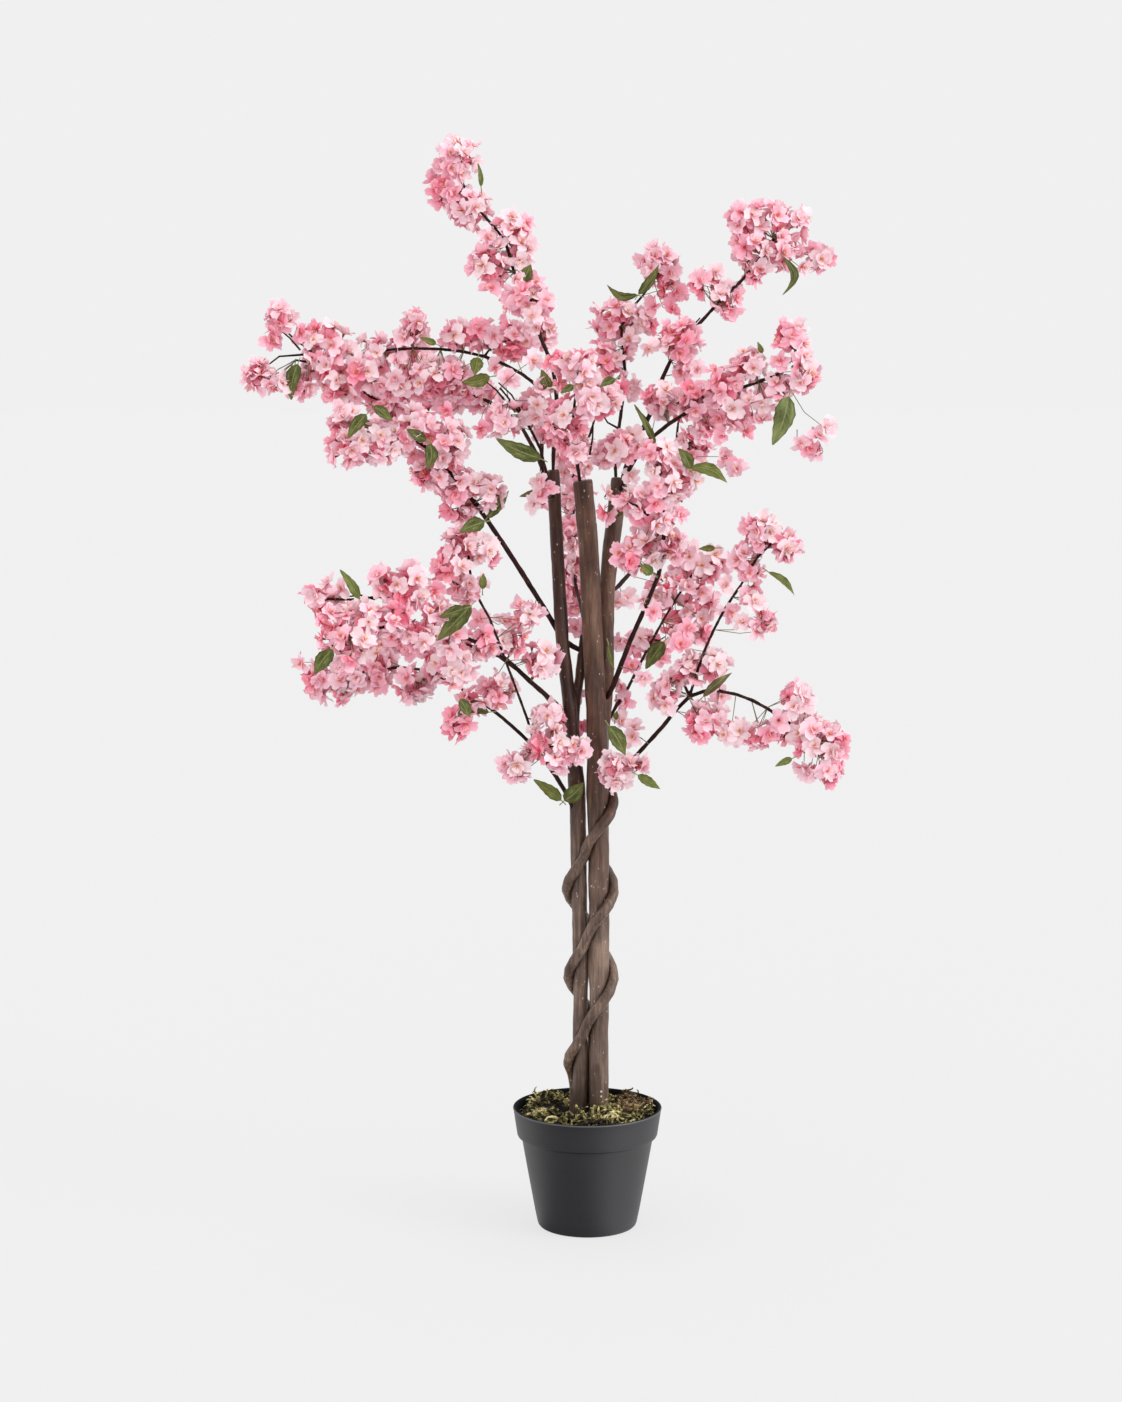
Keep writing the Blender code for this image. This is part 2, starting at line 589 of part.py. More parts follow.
# ---------------------------------------------------------------- blossoms and leaves
def tuft(name, x, y, z, radius):
    bm = bmesh.new()
    spot = Matrix.Translation((x * MM, y * MM, z * MM))
    bmesh.ops.create_icosphere(bm, subdivisions=2, radius=radius * MM, matrix=spot)
    return object_from(name, bm)


def trimmed(tufts, placed):
    """Shrink tufts just enough to keep clear of the clusters already placed."""
    clear = []
    for x, y, z, radius in tufts:
        for other in placed:
            apart = (Vector((x, y, z)) - Vector(other[:3])).length
            radius = min(radius, apart - other[3] - SPACE)
        clear.append((x, y, z, radius))
    return clear


def make_blossoms(name, tufts):
    """One cluster: tufts run together, bored for every stem that passes through them."""
    first, *rest = [tuft(f"{name}_{number}", *row) for number, row in enumerate(tufts)]
    first.name = name
    if rest:
        combine(first, "UNION", rest)
        simplify(first)
    for stem in STEMS:
        routes = stem_routes(stem)
        if any(near(tufts, route, 2.0) for route in routes):
            combine(first, "DIFFERENCE", cutters(stem, routes, sides=6))
    shade_smooth(first)
    return finished(first, "blossom_silk")


def make_leaf(name, stem, share, way):
    """A folded blade on its own stalk, with the stalk's end seated on a stem."""
    route = stem_routes(stem)[0]
    index = round(share * (len(route) - 1))
    base = Vector(route[index][:3])
    along = (Vector(route[index + 1][:3]) - base).normalized()
    way = Vector(way).normalized()
    across = way.cross(Vector((0, 0, 1))).normalized()
    up = across.cross(way)
    side = (way - way.dot(along) * along).normalized()
    start = base + side * (route[index][3] + GAP + LEAF_THICKNESS / 2)
    bm = bmesh.new()
    rows = []
    for step in range(8):
        t = step / 7
        blade = max(0.0, (t - 0.2) / 0.8)
        half = 0.7 + 0.5 * LEAF_WIDTH * math.sin(math.pi * blade ** 0.8)
        middle = start + way * LEAF_LENGTH * t - up * 7.0 * t * t
        fold = up * half * 0.25
        rows.append([bm.verts.new((middle + across * half * side + fold * abs(side)) * MM)
                     for side in (-1, 0, 1)])
    for low, high in zip(rows, rows[1:]):
        for side in range(2):
            bm.faces.new((low[side], low[side + 1], high[side + 1], high[side]))
    leaf = object_from(name, bm)
    skin = leaf.modifiers.new("thickness", "SOLIDIFY")
    skin.thickness = LEAF_THICKNESS * MM
    skin.offset = 0.0
    leaf.data = evaluated_mesh(leaf)
    leaf.modifiers.clear()
    return finished(leaf, "leaf_silk")


def main():
    clear_scene()
    make_pot()
    make_fill()
    make_moss()
    make_trunk("trunk_left", LEFT_POLE, LEFT_LIMB, ("left_pole", "left_limb"))
    make_trunk("trunk_centre", CENTRE_POLE, RIGHT_STEM, ("centre_pole", "right_stem"))
    for name in VINES:
        make_vine(name)
    for name in STEMS:
        make_stem(name)
    placed = []
    for name, tufts in BLOSSOMS.items():
        tufts = trimmed(tufts, placed)
        make_blossoms(name, tufts)
        placed += tufts
    for name, (stem, share, way) in LEAVES.items():
        make_leaf(name, stem, share, way)


main()
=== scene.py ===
# %% [markdown]
# # A potted cherry tree in blossom
# This is a shop-made tree: real wooden poles stand in a plastic pot, wires wrapped
# in brown tape are plugged into holes drilled in the poles, and silk blossoms and
# leaves are pushed onto the wires. The CAD part already fixes where each of these
# is and how far it reaches. The lesson dresses them: it keeps every place and size
# and gives each piece its real surface, petal by petal.

import math
import random

import bmesh
import bpy
from mathutils import Matrix, Vector, kdtree, noise
from mathutils.bvhtree import BVHTree


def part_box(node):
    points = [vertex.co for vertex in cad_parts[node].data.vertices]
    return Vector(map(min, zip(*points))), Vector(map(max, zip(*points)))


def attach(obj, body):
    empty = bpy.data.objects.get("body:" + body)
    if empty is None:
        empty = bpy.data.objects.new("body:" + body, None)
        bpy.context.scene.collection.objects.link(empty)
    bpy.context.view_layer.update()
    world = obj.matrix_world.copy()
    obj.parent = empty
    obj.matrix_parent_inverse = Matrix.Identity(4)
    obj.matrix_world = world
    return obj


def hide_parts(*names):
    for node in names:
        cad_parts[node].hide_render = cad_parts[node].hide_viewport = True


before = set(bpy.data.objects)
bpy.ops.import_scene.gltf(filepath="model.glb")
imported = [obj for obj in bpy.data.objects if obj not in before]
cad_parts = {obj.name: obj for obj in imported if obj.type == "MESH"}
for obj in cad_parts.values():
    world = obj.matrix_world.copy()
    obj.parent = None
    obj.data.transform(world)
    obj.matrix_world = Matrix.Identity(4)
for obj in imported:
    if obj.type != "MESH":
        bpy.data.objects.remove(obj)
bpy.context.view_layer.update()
MM = 0.001

# %% [markdown]
# ## Finishes as sums
# A finish is a network of nodes. Wired by hand it is long to write and hard to read,
# so a small class stands for one output of a node, and the ordinary signs + - * /
# on it add the Math nodes. Colours go through Mix nodes, because a Math node would
# turn them grey.


# %% A value that can be added and multiplied
class Value:
    """An output of a node. Python's arithmetic on it adds Math nodes."""

    def __init__(self, finish, socket):
        self.finish = finish
        self.socket = socket

    def math(self, operation, *values):
        return self.finish.node("ShaderNodeMath", {"operation": operation}, dict(enumerate(values)))

    def __add__(self, other):
        return self.math("ADD", self, other)

    def __sub__(self, other):
        return self.math("SUBTRACT", self, other)

    def __rsub__(self, other):
        return self.math("SUBTRACT", other, self)

    def __mul__(self, other):
        return self.math("MULTIPLY", self, other)

    def __truediv__(self, other):
        return self.math("DIVIDE", self, other)

    __radd__ = __add__
    __rmul__ = __mul__

    def whole(self):
        return self.math("FLOOR", self)

    def fraction(self):
        return self.math("FRACT", self)

    def unsigned(self):
        return self.math("ABSOLUTE", self)

    def between(self, low, high):
        """0 below low, 1 above high and a smooth rise between them."""
        ends = {"Value": self, "From Min": low, "From Max": high}
        return self.finish.node("ShaderNodeMapRange", {"interpolation_type": "SMOOTHSTEP"}, ends)


# %% A finish that hands out nodes
FROM_CAMERA = (0.46, 0.888, 0)  # level, away from the dim side of the room
DIM_SIDE = (-0.95, -0.35)  # along that way: where the room is all dim, and where it is all pale
DIM = 0.24


class Finish:
    """A material, or a world, and the ways to add nodes to it."""

    def __init__(self, name, kind=bpy.data.materials):
        self.owner = kind.new(name)
        self.owner.use_nodes = True
        self.tree = self.owner.node_tree
        self.tree.nodes.clear()

    def node(self, kind, settings=None, sockets=None, out=0):
        made = self.tree.nodes.new(kind)
        for name, setting in (settings or {}).items():
            if name == "stops":
                elements = made.color_ramp.elements
                while len(elements) < len(setting):
                    elements.new(1.0)
                for element, (place, colour) in zip(elements, setting):
                    element.position, element.color = place, colour
            else:
                setattr(made, name, setting)
        for name, value in (sockets or {}).items():
            if isinstance(value, Value):
                self.tree.links.new(value.socket, made.inputs[name])
            else:
                made.inputs[name].default_value = value
        return Value(self, made.outputs[out]) if made.outputs else made

    def place(self, scale=(1, 1, 1)):
        """Where a point is on the piece, in metres, stretched by scale."""
        where = self.node("ShaderNodeTexCoord", out="Object")
        return self.node("ShaderNodeMapping", None, {"Vector": where, "Scale": scale})

    def clouds(self, place, scale, detail=3.0, rough=0.5):
        sockets = {"Vector": place, "Scale": scale, "Detail": detail, "Roughness": rough}
        return self.node("ShaderNodeTexNoise", None, sockets)

    def cells(self, place, scale):
        return self.node("ShaderNodeTexVoronoi", None, {"Vector": place, "Scale": scale})

    def axis(self, name, vector):
        return self.node("ShaderNodeSeparateXYZ", None, {"Vector": vector}, out=name)

    def vector(self, operation, *vectors, out="Value"):
        sockets = dict(enumerate(vectors))
        return self.node("ShaderNodeVectorMath", {"operation": operation}, sockets, out)

    def ramp(self, value, *stops):
        return self.node("ShaderNodeValToRGB", {"stops": stops}, {"Fac": value})

    def mix(self, share, first, second, blend="MIX"):
        kind = {"data_type": "RGBA", "blend_type": blend}
        return self.node("ShaderNodeMix", kind, {0: share, 6: first, 7: second}, out=2)

    def bump(self, height, depth, strength=1.0):
        sockets = {"Height": height, "Distance": depth, "Strength": strength}
        return self.node("ShaderNodeBump", None, sockets)

    def plain(self, **sockets):
        """The usual shader, with its sockets written as words joined by underscores."""
        named = {}
        for name, value in sockets.items():
            named[name.replace("_", " ").title().replace("Ior", "IOR")] = value
        return self.node("ShaderNodeBsdfPrincipled", None, named)

    def blend(self, share, first, second):
        """Two shaders mixed by share."""
        return self.node("ShaderNodeMixShader", None, {0: share, 1: first, 2: second})

    def seen(self):
        """1 where the eye looks straight, by a mirror or through glass, and 0 for light."""
        rays = ("Is Camera Ray", "Is Glossy Ray", "Is Transmission Ray")
        straight, mirrored, through = (self.node("ShaderNodeLightPath", out=ray) for ray in rays)
        return straight + mirrored + through

    def room(self, direction):
        """How pale the room looks in shine: dimmer on the side where the camera stands."""
        behind = self.vector("DOT_PRODUCT", direction, FROM_CAMERA)
        shine = self.node("ShaderNodeLightPath", out="Is Glossy Ray")
        return 1 - shine * (1 - behind.between(*DIM_SIDE)) * (1 - DIM)

    def show(self, shader, output="ShaderNodeOutputMaterial"):
        self.node(output, None, {"Surface": shader})
        return self.owner


def tone(red, green, blue):
    """A colour as it looks on a screen, 0 to 255, in the plain light units nodes use."""
    parts = [part / 255 for part in (red, green, blue)]
    linear = [p / 12.92 if p <= 0.04045 else ((p + 0.055) / 1.055) ** 2.4 for p in parts]
    return (*linear, 1.0)


print("mid grey in light units:", round(tone(128, 128, 128)[0], 3))

# %% [markdown]
# ## How a piece joins the part
# Each new mesh becomes an object at the origin with its place in its mesh, like the
# CAD nodes. It rides on the part's only body and hides the CAD nodes it stands for.


# %% Finish a piece
def piece(name, bm, material, stands_for=()):
    mesh = bpy.data.meshes.new(name)
    bm.to_mesh(mesh)
    bm.free()
    mesh.materials.append(material)
    mesh.shade_smooth()
    made = bpy.data.objects.new(name, mesh)
    bpy.context.scene.collection.objects.link(made)
    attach(made, "root")
    if stands_for:
        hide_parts(*stands_for)
    print(name, len(mesh.polygons), "faces")
    return made


def welded(node):
    """A CAD node's mesh with its loose triangles joined up."""
    bm = bmesh.new()
    bm.from_mesh(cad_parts[node].data)
    bmesh.ops.remove_doubles(bm, verts=bm.verts, dist=0.01 * MM)
    bm.normal_update()
    return bm


# %% [markdown]
# ## The pot
# The pot is thin injection-moulded plastic: a plain tapering wall, a deep band under
# the rim and a rolled edge. It is a turned shape, so one outline is spun round the
# upright axis. The outline is scaled to the CAD pot's own rim, and its corners get a
# small round, because a moulded edge is never sharp.

# %% Pot outline
pot_low, pot_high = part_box("pot")
rim_radius = (pot_high.x - pot_low.x) / 2
POT_TURNS = 96
OUTLINE_RIM = 83
POT_OUTLINE = [  # radius and height in mm: up the outside, over the rim and down the inside
    (0, 2.2), (44, 2.2), (46, 0.6), (48, 0), (51.5, 0), (53.6, 0.7), (54.8, 2), (55.8, 4.4),
    (58.4, 17), (66, 59), (72.6, 96.4), (73.6, 100.6), (74.3, 101.7), (76.2, 102.4),
    (77.6, 103.2), (78.3, 104.6), (79, 109), (81.2, 124), (82.3, 131.6), (82.9, 133.2),
    (83, 134), (82.6, 134.7), (81.6, 135), (80.4, 134.9), (79.5, 134.2), (78.8, 132.6),
    (76.4, 117), (74.4, 104.8), (72.6, 102.4), (70.4, 99), (62, 56), (52.6, 4.6), (50, 3.4), (0, 3.4),
]


def spun_pot():
    bm = bmesh.new()
    scale = rim_radius / (OUTLINE_RIM * MM)
    points = [Vector((radius * MM * scale, 0, height * MM)) for radius, height in POT_OUTLINE]
    rim = [bm.verts.new(point) for point in points]
    edges = [bm.edges.new(pair) for pair in zip(rim, rim[1:])]
    bmesh.ops.spin(
        bm, geom=rim + edges, axis=(0, 0, 1), cent=(0, 0, 0), angle=math.tau,
        steps=POT_TURNS, use_merge=True,
    )
    bmesh.ops.remove_doubles(bm, verts=bm.verts, dist=0.02 * MM)
    bmesh.ops.recalc_face_normals(bm, faces=bm.faces)
    return bm


# %% [markdown]
# Moulded charcoal plastic is nearly even. What shows is a faint cloudiness from the
# mould, a very fine pale grain, thin level scuffs and a painted highlight: a paler line
# on the lip, where the edge catches the light. Inside, above the moss, the wall is
# nearly black and matte, as painted shade. Two shaders are mixed for that, by whether
# a point is inside the wall's middle.

# %% Pot plastic
WALL_LEVEL = 104.8 * MM
WALL_MIDDLE, WALL_SLOPE = 76.4 * MM, 0.173  # half way through the wall there, and how it widens
MOSS_LEVEL = 100 * MM
LIP_LEVEL = 133 * MM
PALE_SCUFF = tone(70, 70, 74)
print("rim radius in mm:", round(rim_radius / MM, 1))


def pot_plastic():
    finish = Finish("charcoal_plastic")
    where = finish.place()
    cloud = finish.clouds(where, 18, detail=4)
    grain = finish.clouds(where, 2600, detail=2)
    scuffs = finish.clouds(finish.place((40, 40, 900)), 1, detail=3).between(0.62, 0.78)
    colour = finish.ramp(cloud, (0.3, tone(8, 7, 14)), (0.7, tone(16, 15, 25)))
    colour = finish.mix(scuffs * 0.16, colour, PALE_SCUFF)
    colour = finish.mix(grain.between(0.35, 0.7) * 0.06, colour, PALE_SCUFF)
    up = finish.axis("Z", where)
    # a paler line on the lip: painted highlight
    lip_highlight = up.between(LIP_LEVEL, LIP_LEVEL + 1.4 * MM)
    colour = finish.mix(lip_highlight * 0.4, colour, tone(120, 120, 124))
    relief = finish.bump(grain * 0.6 + cloud * 0.4, 0.05 * MM, 0.5)
    outer = finish.plain(
        base_color=colour, roughness=0.42 + cloud * 0.14 + scuffs * 0.15,
        specular_ior_level=1.0, normal=relief,
    )
    # a nearly black, matte wall inside above the moss: painted shade
    painted_shade_tone = finish.ramp(cloud, (0.3, tone(5, 5, 6)), (0.7, tone(12, 12, 14)))
    inner = finish.plain(base_color=painted_shade_tone, roughness=0.8, specular_ior_level=0.15, normal=relief)
    radius = finish.vector("LENGTH", finish.place((1, 1, 0)))
    wall_middle = WALL_MIDDLE + (up - WALL_LEVEL) * WALL_SLOPE
    within = 1 - radius.between(wall_middle, wall_middle + 1.5 * MM)
    painted_shade_inside = up.between(MOSS_LEVEL, MOSS_LEVEL + 4 * MM) * within
    return finish.show(finish.blend(painted_shade_inside, outer, inner))


piece("pot_shell", spun_pot(), pot_plastic(), ["pot"])


# %% [markdown]
# ## The cement
# A plug of cement under the moss holds the poles and stops the tree from falling.
# Almost none of it shows, so its CAD shape stays and only gets a finish.


# %% Cement
def cement():
    finish = Finish("grey_cement")
    where = finish.place()
    sand = finish.cells(where, 420)
    cloud = finish.clouds(where, 60, detail=6)
    colour = finish.ramp(cloud, (0.3, tone(118, 114, 106)), (0.7, tone(156, 151, 142)))
    colour = finish.mix(sand.between(0.1, 0.5) * 0.4, tone(96, 92, 86), colour)
    normal = finish.bump(sand + cloud, 0.6 * MM, 0.8)
    return finish.show(finish.plain(base_color=colour, roughness=0.9, normal=normal))


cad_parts["pot_fill"].data.materials.clear()
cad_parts["pot_fill"].data.materials.append(cement())

# %% [markdown]
# ## Even skins for the wood
# The CAD rods are right in size but faceted. A voxel remesh covers each with small
# even faces without moving it, and passes of smoothing take off the steps. Noise then
# pushes the points in and out along the bark, and knots swell one side of a pole.
# Shaping real geometry keeps the ridges in the outline, where a bump map alone would
# leave it smooth.


# %% Remesh and roughen a rod
def even_skin(node, grain, passes):
    """The shape of a CAD node as a bmesh of small even faces."""
    bm = welded(node)
    mesh = bpy.data.meshes.new(node + "_skin")
    bm.to_mesh(mesh)
    bm.free()
    rough = bpy.data.objects.new(mesh.name, mesh)
    bpy.context.scene.collection.objects.link(rough)
    remesh = rough.modifiers.new("even", "REMESH")
    remesh.mode = "VOXEL"
    remesh.voxel_size = grain
    smooth = rough.modifiers.new("smooth", "SMOOTH")
    smooth.factor = 0.5
    smooth.iterations = passes
    bm = bmesh.new()
    bm.from_object(rough, bpy.context.evaluated_depsgraph_get())
    bpy.data.objects.remove(rough)
    bm.normal_update()
    return bm


def roughened(bm, swell, *layers, knots=(), side=0):
    """Moves every point out by swell and by layers of noise (height, across, along), and
    the points that face along X towards side by knots too (level, width, size)."""
    moves = []
    for vert in bm.verts:
        x, y, z = vert.co
        knot = sum(size * math.exp(-(((z - level) / width) ** 2)) for level, width, size in knots)
        out = swell + knot * max(0, vert.normal.x * side)
        for height, across, along in layers:
            out += height * noise.noise(Vector((x / across, y / across, z / along)))
        moves.append(vert.normal * out)
    for vert, move in zip(bm.verts, moves):
        vert.co += move
    return bm


# %% [markdown]
# ## The poles
# The two poles are cut saplings, one brown-grey and one redder, with long shallow
# wrinkles, small pale pores and two pale scars. Low down both are worn to the same
# grey-brown, with darker patches near the foot, and painted shade darkens them wherever
# wood rests on wood. How near the other wood is, is a number kept at every point of the
# mesh, which the bark reads.

# %% Bark
SCARS = [(15.5 * MM, -14 * MM, 155 * MM), (15.5 * MM, -14 * MM, 149.5 * MM)]
WORN = (tone(44, 31, 24), tone(100, 79, 67), tone(150, 126, 110))  # dark, middle and light
WORN_FADE = 0.18
DARKER_LOW_TO = (0.12, 0.24)  # heights where the darker patches begin to fade and where they end
CREASE_SHADE = tone(24, 14, 9)


def bark(name, dark, middle, light, worn_from, low_darkening=0.0):
    """Bark in three tones, fading to a worn grey-brown below the height worn_from."""
    finish = Finish(name)
    height = finish.axis("Z", finish.place())
    fine = finish.clouds(finish.place((420, 420, 34)), 1, detail=5, rough=0.6)
    broad = finish.clouds(finish.place((48, 48, 18)), 1, detail=3)
    patches = finish.clouds(finish.place(), 26, detail=4)
    pores = finish.cells(finish.place((230, 230, 120)), 1)
    wrinkles = fine * 0.5 + broad * 0.5
    colour = finish.ramp(wrinkles, (0.32, dark), (0.5, middle), (0.7, light))
    worn = finish.ramp(wrinkles, (0.32, WORN[0]), (0.5, WORN[1]), (0.68, WORN[2]))
    colour = finish.mix(1 - height.between(worn_from - WORN_FADE, worn_from), colour, worn)
    colour = finish.mix(patches.between(0.5, 0.68) * 0.5, colour, dark)
    crease = finish.node("ShaderNodeAttribute", {"attribute_name": "crease"}, out="Fac")
    # painted shade in the creases where wood rests on wood
    colour = finish.mix(crease.between(0.3, 0.85) * 0.85, colour, CREASE_SHADE)
    specks = 1 - pores.between(0.08, 0.2)
    chance = finish.clouds(finish.place(), 160, detail=1).between(0.5, 0.58)
    colour = finish.mix(specks * chance * 0.75, colour, tone(198, 180, 162))
    for spot in SCARS:
        gap = finish.vector("DISTANCE", finish.place(), spot)
        colour = finish.mix(1 - gap.between(1.2 * MM, 1.9 * MM), colour, tone(240, 226, 210))
    if low_darkening:
        low = 1 - height.between(*DARKER_LOW_TO)
        colour = finish.mix(low * patches.between(0.3, 0.56) * low_darkening, colour, tone(54, 38, 29))
    relief = fine * 0.7 + pores * 0.3
    return finish.show(finish.plain(
        base_color=colour, roughness=0.36 + fine * 0.2, specular_ior_level=0.5,
        normal=finish.bump(relief, 0.5 * MM, 0.7),
    ))


grey_bark = bark("grey_bark", tone(46, 27, 18), tone(92, 63, 47), tone(130, 99, 79), 0.5, low_darkening=0.7)
red_bark = bark("red_bark", tone(34, 15, 8), tone(64, 35, 23), tone(94, 61, 47), 0.54, low_darkening=0.7)
print("barks:", grey_bark.name, red_bark.name)

# %% Where wood rests on wood
WOOD = ("trunk_centre", "trunk_left", "vine_first", "vine_second")
CREASE = 8 * MM  # painted shade darkens gaps narrower than this
surfaces = {}
for node in WOOD:
    body = welded(node)
    surfaces[node] = BVHTree.FromBMesh(body)
    body.free()


def creased(bm, node):
    """Notes at every point how near the other wood is, from 0 far off to 1 touching, for the painted
    shade in the creases.
    """
    layer = bm.verts.layers.float.new("crease")
    others = [surface for name, surface in surfaces.items() if name != node]
    for vert in bm.verts:
        gaps = [surface.find_nearest(vert.co, CREASE)[3] for surface in others]
        vert[layer] = 1 - min([gap for gap in gaps if gap is not None], default=CREASE) / CREASE
    return bm


# %% Poles
POLE_LAYERS = [  # height, width and length of the wrinkles
    (0.5 * MM, 5 * MM, 60 * MM), (0.9 * MM, 22 * MM, 40 * MM), (0.35 * MM, 2.6 * MM, 12 * MM),
]
KNOTS = [  # level, width and size in metres
    (0.48, 0.05, 0.0023), (0.39, 0.03, 0.0012), (0.318, 0.026, 0.0022), (0.288, 0.012, 0.001),
]
POLE_SWELL = 1.0 * MM  # makes up for what the smoothing takes off
POLES = [  # CAD node, name, bark and the side along X that its knots swell
    ("trunk_centre", "pole_centre", grey_bark, -1), ("trunk_left", "pole_left", red_bark, 1),
]
for node, name, wood, side in POLES:
    skin = creased(even_skin(node, grain=1.7 * MM, passes=4), node)
    roughened(skin, POLE_SWELL, *POLE_LAYERS, knots=KNOTS, side=side)
    piece(name, skin, wood, [node])

# %% [markdown]
# ## The vines
# Two thinner shoots wind up the poles. Young bark is smoother, so they get many more
# passes of smoothing, lower wrinkles and a brown between those of the two poles.

# %% Vines
VINE_LAYERS = [(0.35 * MM, 4 * MM, 30 * MM), (0.5 * MM, 16 * MM, 22 * MM)]
VINE_SWELL = 1.5 * MM
vine_bark = bark("vine_bark", tone(40, 21, 14), tone(76, 47, 35), tone(112, 80, 63), 0.54)
for node in ("vine_first", "vine_second"):
    skin = creased(even_skin(node, grain=1.3 * MM, passes=50), node)
    roughened(skin, VINE_SWELL, *VINE_LAYERS)
    piece(node.replace("vine", "winding_shoot"), skin, vine_bark, [node])

# %% [markdown]
# ## The wrapped wires
# Each branch is a wire wound with dark red-brown florist's tape, so the surface is a
# little lumpy and crossed by fine slanting edges.


# %% Stem tape
def stem_tape():
    finish = Finish("brown_stem_tape")
    turns = finish.node(
        "ShaderNodeTexWave", {"wave_type": "BANDS", "bands_direction": "DIAGONAL"},
        {"Vector": finish.place(), "Scale": 150.0, "Distortion": 3.0, "Detail": 2.0},
    )
    cloud = finish.clouds(finish.place(), 140, detail=4)
    colour = finish.ramp(cloud, (0.3, tone(28, 8, 6)), (0.6, tone(50, 21, 17)), (0.75, tone(84, 50, 42)))
    normal = finish.bump(turns.between(0.2, 0.9) * 0.6 + cloud * 0.8, 0.4 * MM, 0.7)
    return finish.show(finish.plain(
        base_color=colour, roughness=0.5 + cloud * 0.2, specular_ior_level=0.22, normal=normal,
    ))


tape = stem_tape()
branch_nodes = sorted(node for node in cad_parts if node.startswith("branch_"))
STEM_LAYERS = [(0.35 * MM, 7 * MM, 9 * MM)]
STEM_SWELL = 0.3 * MM
for node in branch_nodes:
    skin = roughened(even_skin(node, grain=1.0 * MM, passes=2), STEM_SWELL, *STEM_LAYERS)
    piece("wire_" + node[len("branch_"):], skin, tape, [node])

# %% [markdown]
# ## A shoot along a route
# Twigs, flower stalks and moss strands are all thin rods along a bent route. A ring
# is made once with a bmesh operator, and then extruded and moved from point to point.


# %% Extrude a ring along a route
def shoot(bm, route, start, end, sides, closed=True):
    """A thin tapering rod through the points of route. Returns its new points."""
    route = [Vector(point) for point in route]
    ways = [(b - a).normalized() for a, b in zip(route, route[1:])]
    ways = [ways[0]] + [(a + b).normalized() for a, b in zip(ways, ways[1:])] + [ways[-1]]
    turn = ways[0].to_track_quat("Z", "Y").to_matrix().to_4x4()
    ring = bmesh.ops.create_circle(
        bm, segments=sides, radius=start, matrix=Matrix.Translation(route[0]) @ turn, cap_ends=closed
    )["verts"]
    made = list(ring)
    edges = list({edge for vert in ring for edge in vert.link_edges})
    steps = len(route) - 1
    for step in range(steps):
        grown = bmesh.ops.extrude_edge_only(bm, edges=edges)["geom"]
        ring = [item for item in grown if isinstance(item, bmesh.types.BMVert)]
        edges = [item for item in grown if isinstance(item, bmesh.types.BMEdge)]
        centre = route[step]
        now = start + (end - start) * step / steps
        then = start + (end - start) * (step + 1) / steps
        swing = ways[step].rotation_difference(ways[step + 1]).to_matrix().to_4x4()
        move = (
            Matrix.Translation(route[step + 1]) @ swing
            @ Matrix.Scale(then / now, 4) @ Matrix.Translation(-centre)
        )
        bmesh.ops.transform(bm, matrix=move, verts=ring)
        made += ring
    if closed:
        bmesh.ops.edgeloop_fill(bm, edges=edges)
    return made


# %% [markdown]
# Every bmesh operator goes through the whole mesh that it works in, so small things
# are each made in a small mesh of their own and copied into the big one, turned and
# moved into place.


# %% Small meshes into a large one
def small_mesh(bm):
    mesh = bpy.data.meshes.new("small")
    bm.to_mesh(mesh)
    bm.free()
    mesh.shade_smooth()
    return mesh


def add_copy(bm, mesh, place):
    copied = mesh.copy()
    copied.transform(place)
    bm.from_mesh(copied)
    bpy.data.meshes.remove(copied)


# %% [markdown]
# ## One map for petals, leaves and stalks
# The flowers are far too many to give each its own texture. Instead one square map
# is cut into four by four cells, each cell is one shade of petal or one other part,
# and every flower looks its colours up there. Across a cell runs the width of the
# petal and up it the length, so the finish can fade a petal from its heart to its
# edge. The leaves use the same squares with a finish of their own.

# %% Places on the map
MAP_NAME = "OFBake"
CELLS = 4
MARGIN = 0.06
ROOM = 1 - 2 * MARGIN
PETAL_SHADES = 12
STAMEN, CALYX, STALK = range(PETAL_SHADES, PETAL_SHADES + 3)


def on_map(cell, across, along):
    column, row = cell % CELLS, cell // CELLS
    return ((column + MARGIN + ROOM * across) / CELLS, (row + MARGIN + ROOM * along) / CELLS)


def map_layer(bm):
    return bm.loops.layers.uv.get(MAP_NAME) or bm.loops.layers.uv.new(MAP_NAME)


def mark(layer, vert, cell, across, along):
    """Gives a point its spot on the map, in every face that it belongs to."""
    for loop in vert.link_loops:
        loop[layer].uv = on_map(cell, across, along)


def pin(bm, verts, cell, along=0.5):
    """Gives all the faces at verts one spot of a cell."""
    layer = map_layer(bm)
    for vert in verts:
        mark(layer, vert, cell, 0.5, along)


def read_map(finish):
    """A place on the map, and how far right and up it is, counted in cells."""
    where = finish.node("ShaderNodeUVMap", {"uv_map": MAP_NAME})
    return where, finish.axis("X", where) * CELLS, finish.axis("Y", where) * CELLS


def in_cell(count):
    """How far across or along its own cell a place is, from 0 to 1."""
    return (count - count.whole() - MARGIN) / ROOM


print("cells on the map:", CELLS * CELLS)


# %% [markdown]
# ## One petal
# A petal starts as a small flat grid. Its rows are narrowed at the foot, its corners
# are drawn back and the middle of its tip is notched, as on a cherry petal. The grid
# is then lifted, curled and ruffled, differently each time. Sizes are shares of the
# petal's own length or width.

# %% Shape a petal
FOOT_WIDTH, WIDENS, NARROWS = 0.2, 2.3, 1.62
CORNER_BACK, NOTCH = 0.28, 0.18
CRIMP, RUFFLE = 0.04, 0.07


